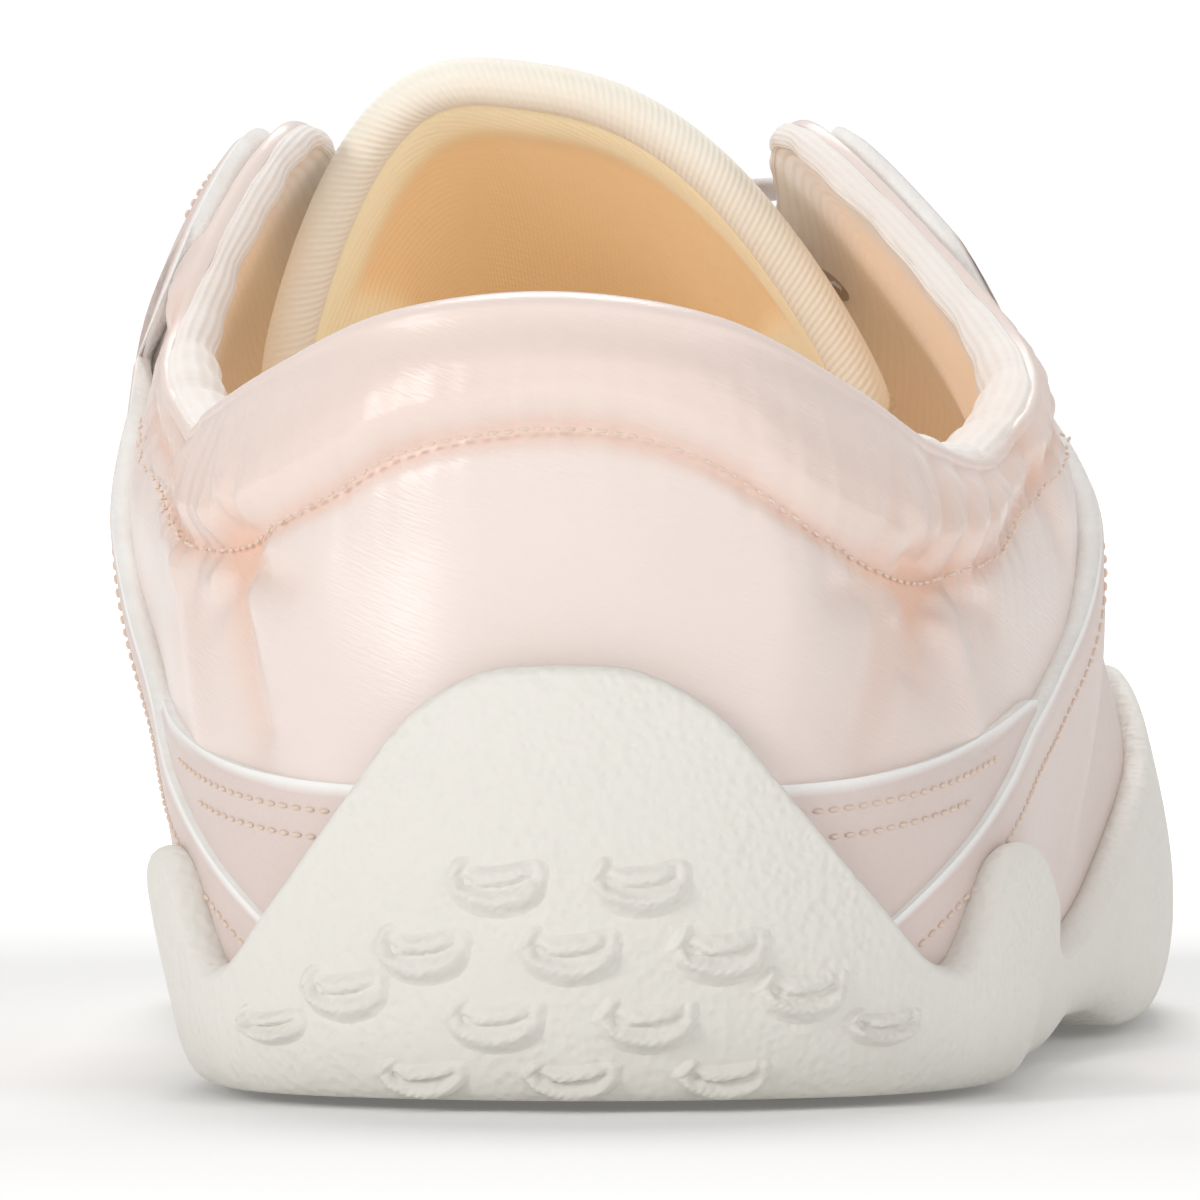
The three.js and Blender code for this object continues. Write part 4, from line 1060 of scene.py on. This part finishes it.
CREAM_KNIT = knit_material("tongue_knit", (0.90, 0.80, 0.66), (0.80, 0.62, 0.42), 1.15, 0.0, 0.8, 0.3)
TAN_KNIT = knit_material("tongue_lining", (0.93, 0.61, 0.33), (0.85, 0.50, 0.24), 0.8, 0.3, 0.8, 0.03, 0.15)
cross = np.linspace(-1, 1, 97)
rows, charts = [], []
for share in np.linspace(0, 0.975, 90):
    rows.append(tongue_point(cross, share))
    charts.append(np.stack([cross * 40, share * 90 + 0 * cross], 1))
tongue_top = laid("tongue_pad", np.array(rows)[:, ::-1], np.array(charts)[:, ::-1], CREAM_KNIT)
wall(tongue_top, TONGUE_THICK - TONGUE_LINED)
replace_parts(tongue_top, "tongue")
rows, charts, shades = [], [], []
for share in np.linspace(0, 0.99, 100):
    near_edge = np.minimum((1 - np.abs(cross)) * 24, (0.99 - share) * 45)
    fold = eased(near_edge, 2.6, 4.6)
    depth = TONGUE_THICK + 0.15 * np.exp(-(((near_edge - 3) / 1.2) ** 2)) - 0.6 * fold
    depth = depth - 1.6 * (1 - eased(near_edge, 0, 1.6))
    rows.append(tongue_point(cross, share) - tongue_normal(cross, share) * depth[:, None])
    charts.append(np.stack([cross * 40, share * 90 + 0 * cross], 1))
    shades.append(fold)
inner_face = laid("tongue_inner_face", rows, charts, TAN_KNIT, {"tan": shades})
wall(inner_face, 0.5)
tan_tree = TAN_KNIT.node_tree
plain_tan = tan_tree.nodes["Principled BSDF"].inputs["Base Color"].links[0].from_socket
two_tans = blended(tan_tree, painted_value(tan_tree, "tan"), (0.93, 0.80, 0.60), plain_tan)
on_shader(TAN_KNIT, "Base Color", two_tans)
# Painted light: the tan lining glows faintly of its own.
painted_glow(TAN_KNIT, (0.12, 0.125, 0.065))

ROLL_PITCH = 0.62
ROLL_LIGHT, ROLL_DEEP = (0.89, 0.84, 0.745), (0.83, 0.72, 0.56)
BINDING = knit_material("tongue_binding", ROLL_LIGHT, ROLL_DEEP, ROLL_PITCH, 0.35, 0.9, 0.06, 0.15)
# Painted light: the roll glows faintly of its own.
painted_glow(BINDING, (0.08, 0.095, 0.09))
walk = np.linspace(-1.75, 1.75, 421)
kernel = np.hanning(61) / np.hanning(61).sum()
edge_across = np.convolve(np.pad(np.clip(walk, -1, 1), 30, mode="edge"), kernel, "valid")
edge_share = np.convolve(np.pad(1 - 0.62 * np.maximum(0, np.abs(walk) - 1), 30, mode="edge"), kernel, "valid")
edge_line = tongue_point(edge_across, edge_share)
edge_normal = tongue_normal(edge_across, edge_share)
edge_line = edge_line - edge_normal * 2.05
edge_along = unit(np.gradient(edge_line, axis=0))
edge_side = unit(np.cross(edge_normal, edge_along))
edge_length = lengths_along(edge_line)
rows, charts = [], []
taper = eased(1.75 - np.abs(walk), 0, 0.25)
for angle in np.linspace(0, 2 * np.pi, 33):
    out, beside = 2.0 * np.cos(angle) * (0.35 + 0.65 * taper), 2.15 * np.sin(angle) * (0.35 + 0.65 * taper)
    rows.append(edge_line + edge_normal * out[:, None] + edge_side * beside[:, None])
    charts.append(np.stack([2.4 * angle + 0 * edge_length, edge_length], 1))
binding = laid("tongue_roll", rows, charts, BINDING)

# Lace.
# A flat white satin ribbon runs crosswise through five pairs of lace holes, from the wings to the vamp. It
# dips into a punched hole at each end of a crossing, and the last ends stop there.
EYELET_RIBS = [7.15, 7.75, 8.35, 8.95, 9.6]
EYELET_FROM_RIM = 6
LACE_WIDTH, LACE_THICK, LACE_CLEAR = 5.6, 0.9, 0.7
LACE_OVER_LEATHER = LEATHER_THICK + LEATHER_GAP + LACE_CLEAR


def ribbon_material():
    ribbon = material_of("lace_ribbon", (0.88, 0.85, 0.90), 0.4, Sheen_Weight=0.3)
    weave = shared(ribbon, WEAVE, Across=0.35, Along=0.9, Slant=0.0)
    tone = shared(ribbon, MOTTLING, Light=(0.90, 0.87, 0.92), Deep=(0.80, 0.76, 0.83), Scale=60.0, Amount=0.6)
    on_shader(ribbon, "Base Color", tone.outputs["Color"])
    bumped(ribbon, weave.outputs["Height"], 0.3, 0.3)
    return ribbon


RIBBON = ribbon_material()
# The discs at the lace holes take the stitched ring's own colour and painted shade of the punched hole.
EYELET_RING_AND_SHADE = material_of("eyelet_ring_and_shade", (0.60, 0.50, 0.44), 0.5)
ring_wear = node(EYELET_RING_AND_SHADE.node_tree, "ShaderNodeTexNoise", Scale=900.0)
bumped(EYELET_RING_AND_SHADE, ring_wear.outputs["Fac"], 0.3, 0.2)


def eyelet_place(rib):
    rib = np.asarray(rib, float)
    v = np.linspace(1, 0.5, 101)
    line = last_point(rib + 0 * v, v)
    v = v[np.argmax(np.linalg.norm(line - line[0], axis=1) >= EYELET_FROM_RIM)]
    return last_point(rib, v), last_normal(rib, v)


def at_edge(rib):
    rib = np.asarray(rib, float)
    out, rising = last_normal(rib, 1.0), unit(last_point(rib, 1.0) - last_point(rib, 0.96))
    return last_point(rib, 1.0) + rising * 2.2 + out * LACE_OVER_LEATHER, unit(out + rising)


def softened(line):
    """A line of points with its corners rounded off. Its ends stay."""
    kernel = np.hanning(15) / np.hanning(15).sum()
    padded = np.pad(line, ((7, 7), (0, 0)), mode="reflect", reflect_type="odd")
    return np.stack([np.convolve(padded[:, k], kernel, "valid") for k in range(3)], 1)


def strand(name, start, end, over):
    """One crossing of the lace from the hole at rib start to the hole at rib end."""
    (hole_a, out_a), (hole_b, out_b) = eyelet_place(start), eyelet_place(end)
    (edge_a, lean_a), (edge_b, lean_b) = at_edge(start), at_edge(end)
    middle = (edge_a + edge_b) / 2
    share = np.interp(-middle[1], -np.array(TONGUE["at"], float), np.linspace(0, 1, 6))
    top = tongue_point(np.zeros(1), np.array([share]))[0]
    middle[2] = max(middle[2], top[2] + 2.2) + over
    face = tongue_normal(np.zeros(1), np.array([share]))[0]
    into_a, into_b = unit(hole_a - edge_a), unit(hole_b - edge_b)
    lift = LACE_OVER_LEATHER + 0.3
    stops = np.array([
        hole_a - out_a * 2.5 + into_a * 0.6, hole_a + out_a * lift, edge_a, middle, edge_b,
        hole_b + out_b * lift, hole_b - out_b * 2.5 + into_b * 0.6,
    ])
    facing = np.array([unit(out_a + into_a), out_a, lean_a, face, lean_b, out_b, unit(out_b + into_b)])
    gone = lengths_along(stops)
    fine = np.linspace(0, gone[-1], 121)
    route, face_line = (softened(along_row(fine, gone, values)) for values in (stops, facing))
    along = unit(np.gradient(route, axis=0))
    wide = unit(np.cross(along, face_line))
    out = unit(np.cross(wide, along))
    from_end = np.minimum(fine, gone[-1] - fine)
    narrow = 0.5 + 0.5 * eased(from_end, 2.0, 9.0)
    rows, charts = [], []
    for angle in np.linspace(0, 2 * np.pi, 29):
        flat = np.sign(np.cos(angle)) * abs(np.cos(angle)) ** 0.6 * LACE_WIDTH / 2 * narrow
        thick = np.sign(np.sin(angle)) * abs(np.sin(angle)) ** 0.7 * LACE_THICK / 2 / narrow**0.5
        rows.append(route + wide * flat[:, None] + out * thick[:, None])
        charts.append(np.stack([fine, 3 * angle + 0 * fine], 1))
    return laid(name, rows[::-1], charts[::-1], RIBBON)


strands = [strand("lace_front", 9.6, -9.6, 0.0)]
for i in range(4):
    strands.append(strand("lace_under_%d" % i, EYELET_RIBS[i], -EYELET_RIBS[i + 1], 0.0))
    strands.append(strand("lace_over_%d" % i, -EYELET_RIBS[i], EYELET_RIBS[i + 1], 1.2))
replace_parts(strands[0], "lace")
holes = bmesh.new()
for rib in EYELET_RIBS + [-rib for rib in EYELET_RIBS]:
    at, out = eyelet_place(rib)
    for lift in (LEATHER_THICK + LEATHER_GAP + 0.05, -2.1):
        turned = Vector(out.tolist()).to_track_quat("Z", "Y").to_matrix().to_4x4()
        turned.translation = Vector(in_frame(at + out * lift).tolist())
        bmesh.ops.create_cone(
            holes, cap_ends=True, segments=24, radius1=0.0021, radius2=0.0018, depth=0.0005, matrix=turned
        )
finished("lace_holes", holes, EYELET_RING_AND_SHADE, smooth=False)

# Floor and light.
# A pale floor that runs out of sight and glows with painted light away from the shoe, an even room, and four
# soft boxes. One stands high on the toe's side, and three stand behind the camera, of which the left one is
# the strongest.
ground = bmesh.new()
bmesh.ops.create_grid(ground, x_segments=4, y_segments=4, size=12)
floor_mesh = bpy.data.meshes.new("studio_floor")
ground.to_mesh(floor_mesh)
ground.free()
floor = bpy.data.objects.new("studio_floor", floor_mesh)
bpy.context.collection.objects.link(floor)
PAPER_WHITE = (0.82, 0.82, 0.82)
paper_with_painted_glow = material_of("studio_paper", PAPER_WHITE, 0.9, Specular_IOR_Level=0.1, Emission_Strength=1.0)
# Painted light: the floor glows of its own, faintly near the shoe and more strongly further out, which leaves
# painted shade round the shoe.
place = node(paper_with_painted_glow.node_tree, "ShaderNodeTexCoord")
away = node(paper_with_painted_glow.node_tree, "ShaderNodeVectorMath", {0: place.outputs["Object"]}, operation="LENGTH")
on_shader(paper_with_painted_glow, "Emission Color", ranged(paper_with_painted_glow.node_tree, away.outputs["Value"], 0.08, 0.4, 0.16, 0.4))
floor_mesh.materials.append(paper_with_painted_glow)
room = bpy.data.worlds.new("room")
bpy.context.scene.world = room
room.use_nodes = True
tree = room.node_tree
lit = tree.nodes["Background"]
lit.inputs["Color"].default_value = (1.0, 0.99, 0.98, 1)
lit.inputs["Strength"].default_value = 0.5
white = node(tree, "ShaderNodeBackground", Color=(1, 1, 1, 1), Strength=1.05)
seen = node(tree, "ShaderNodeLightPath")
lights = {0: seen.outputs["Is Camera Ray"], 1: lit.outputs[0], 2: white.outputs[0]}
either = node(tree, "ShaderNodeMixShader", lights)
tree.links.new(either.outputs[0], tree.nodes["World Output"].inputs["Surface"])
bpy.context.scene.view_settings.view_transform = "Standard"


def soft_sun(name, toward, strength, spread, color=(1, 1, 1)):
    light = bpy.data.lights.new(name, "SUN")
    light.energy = strength
    light.angle = np.radians(spread)
    light.color = color
    lamp = bpy.data.objects.new(name, light)
    lamp.rotation_euler = Vector(toward).to_track_quat("-Z", "Y").to_euler()
    bpy.context.collection.objects.link(lamp)


soft_sun("high_box", (0.04, -0.55, -0.83), 1.35, 26)
soft_sun("left_box", (0.75, 0.8, -0.4), 0.92, 18, (1, 0.99, 0.97))
soft_sun("right_box", (-0.8, 0.65, -0.4), 0.35, 35)
soft_sun("front_box", (-0.05, 1, -0.1), 0.3, 45)
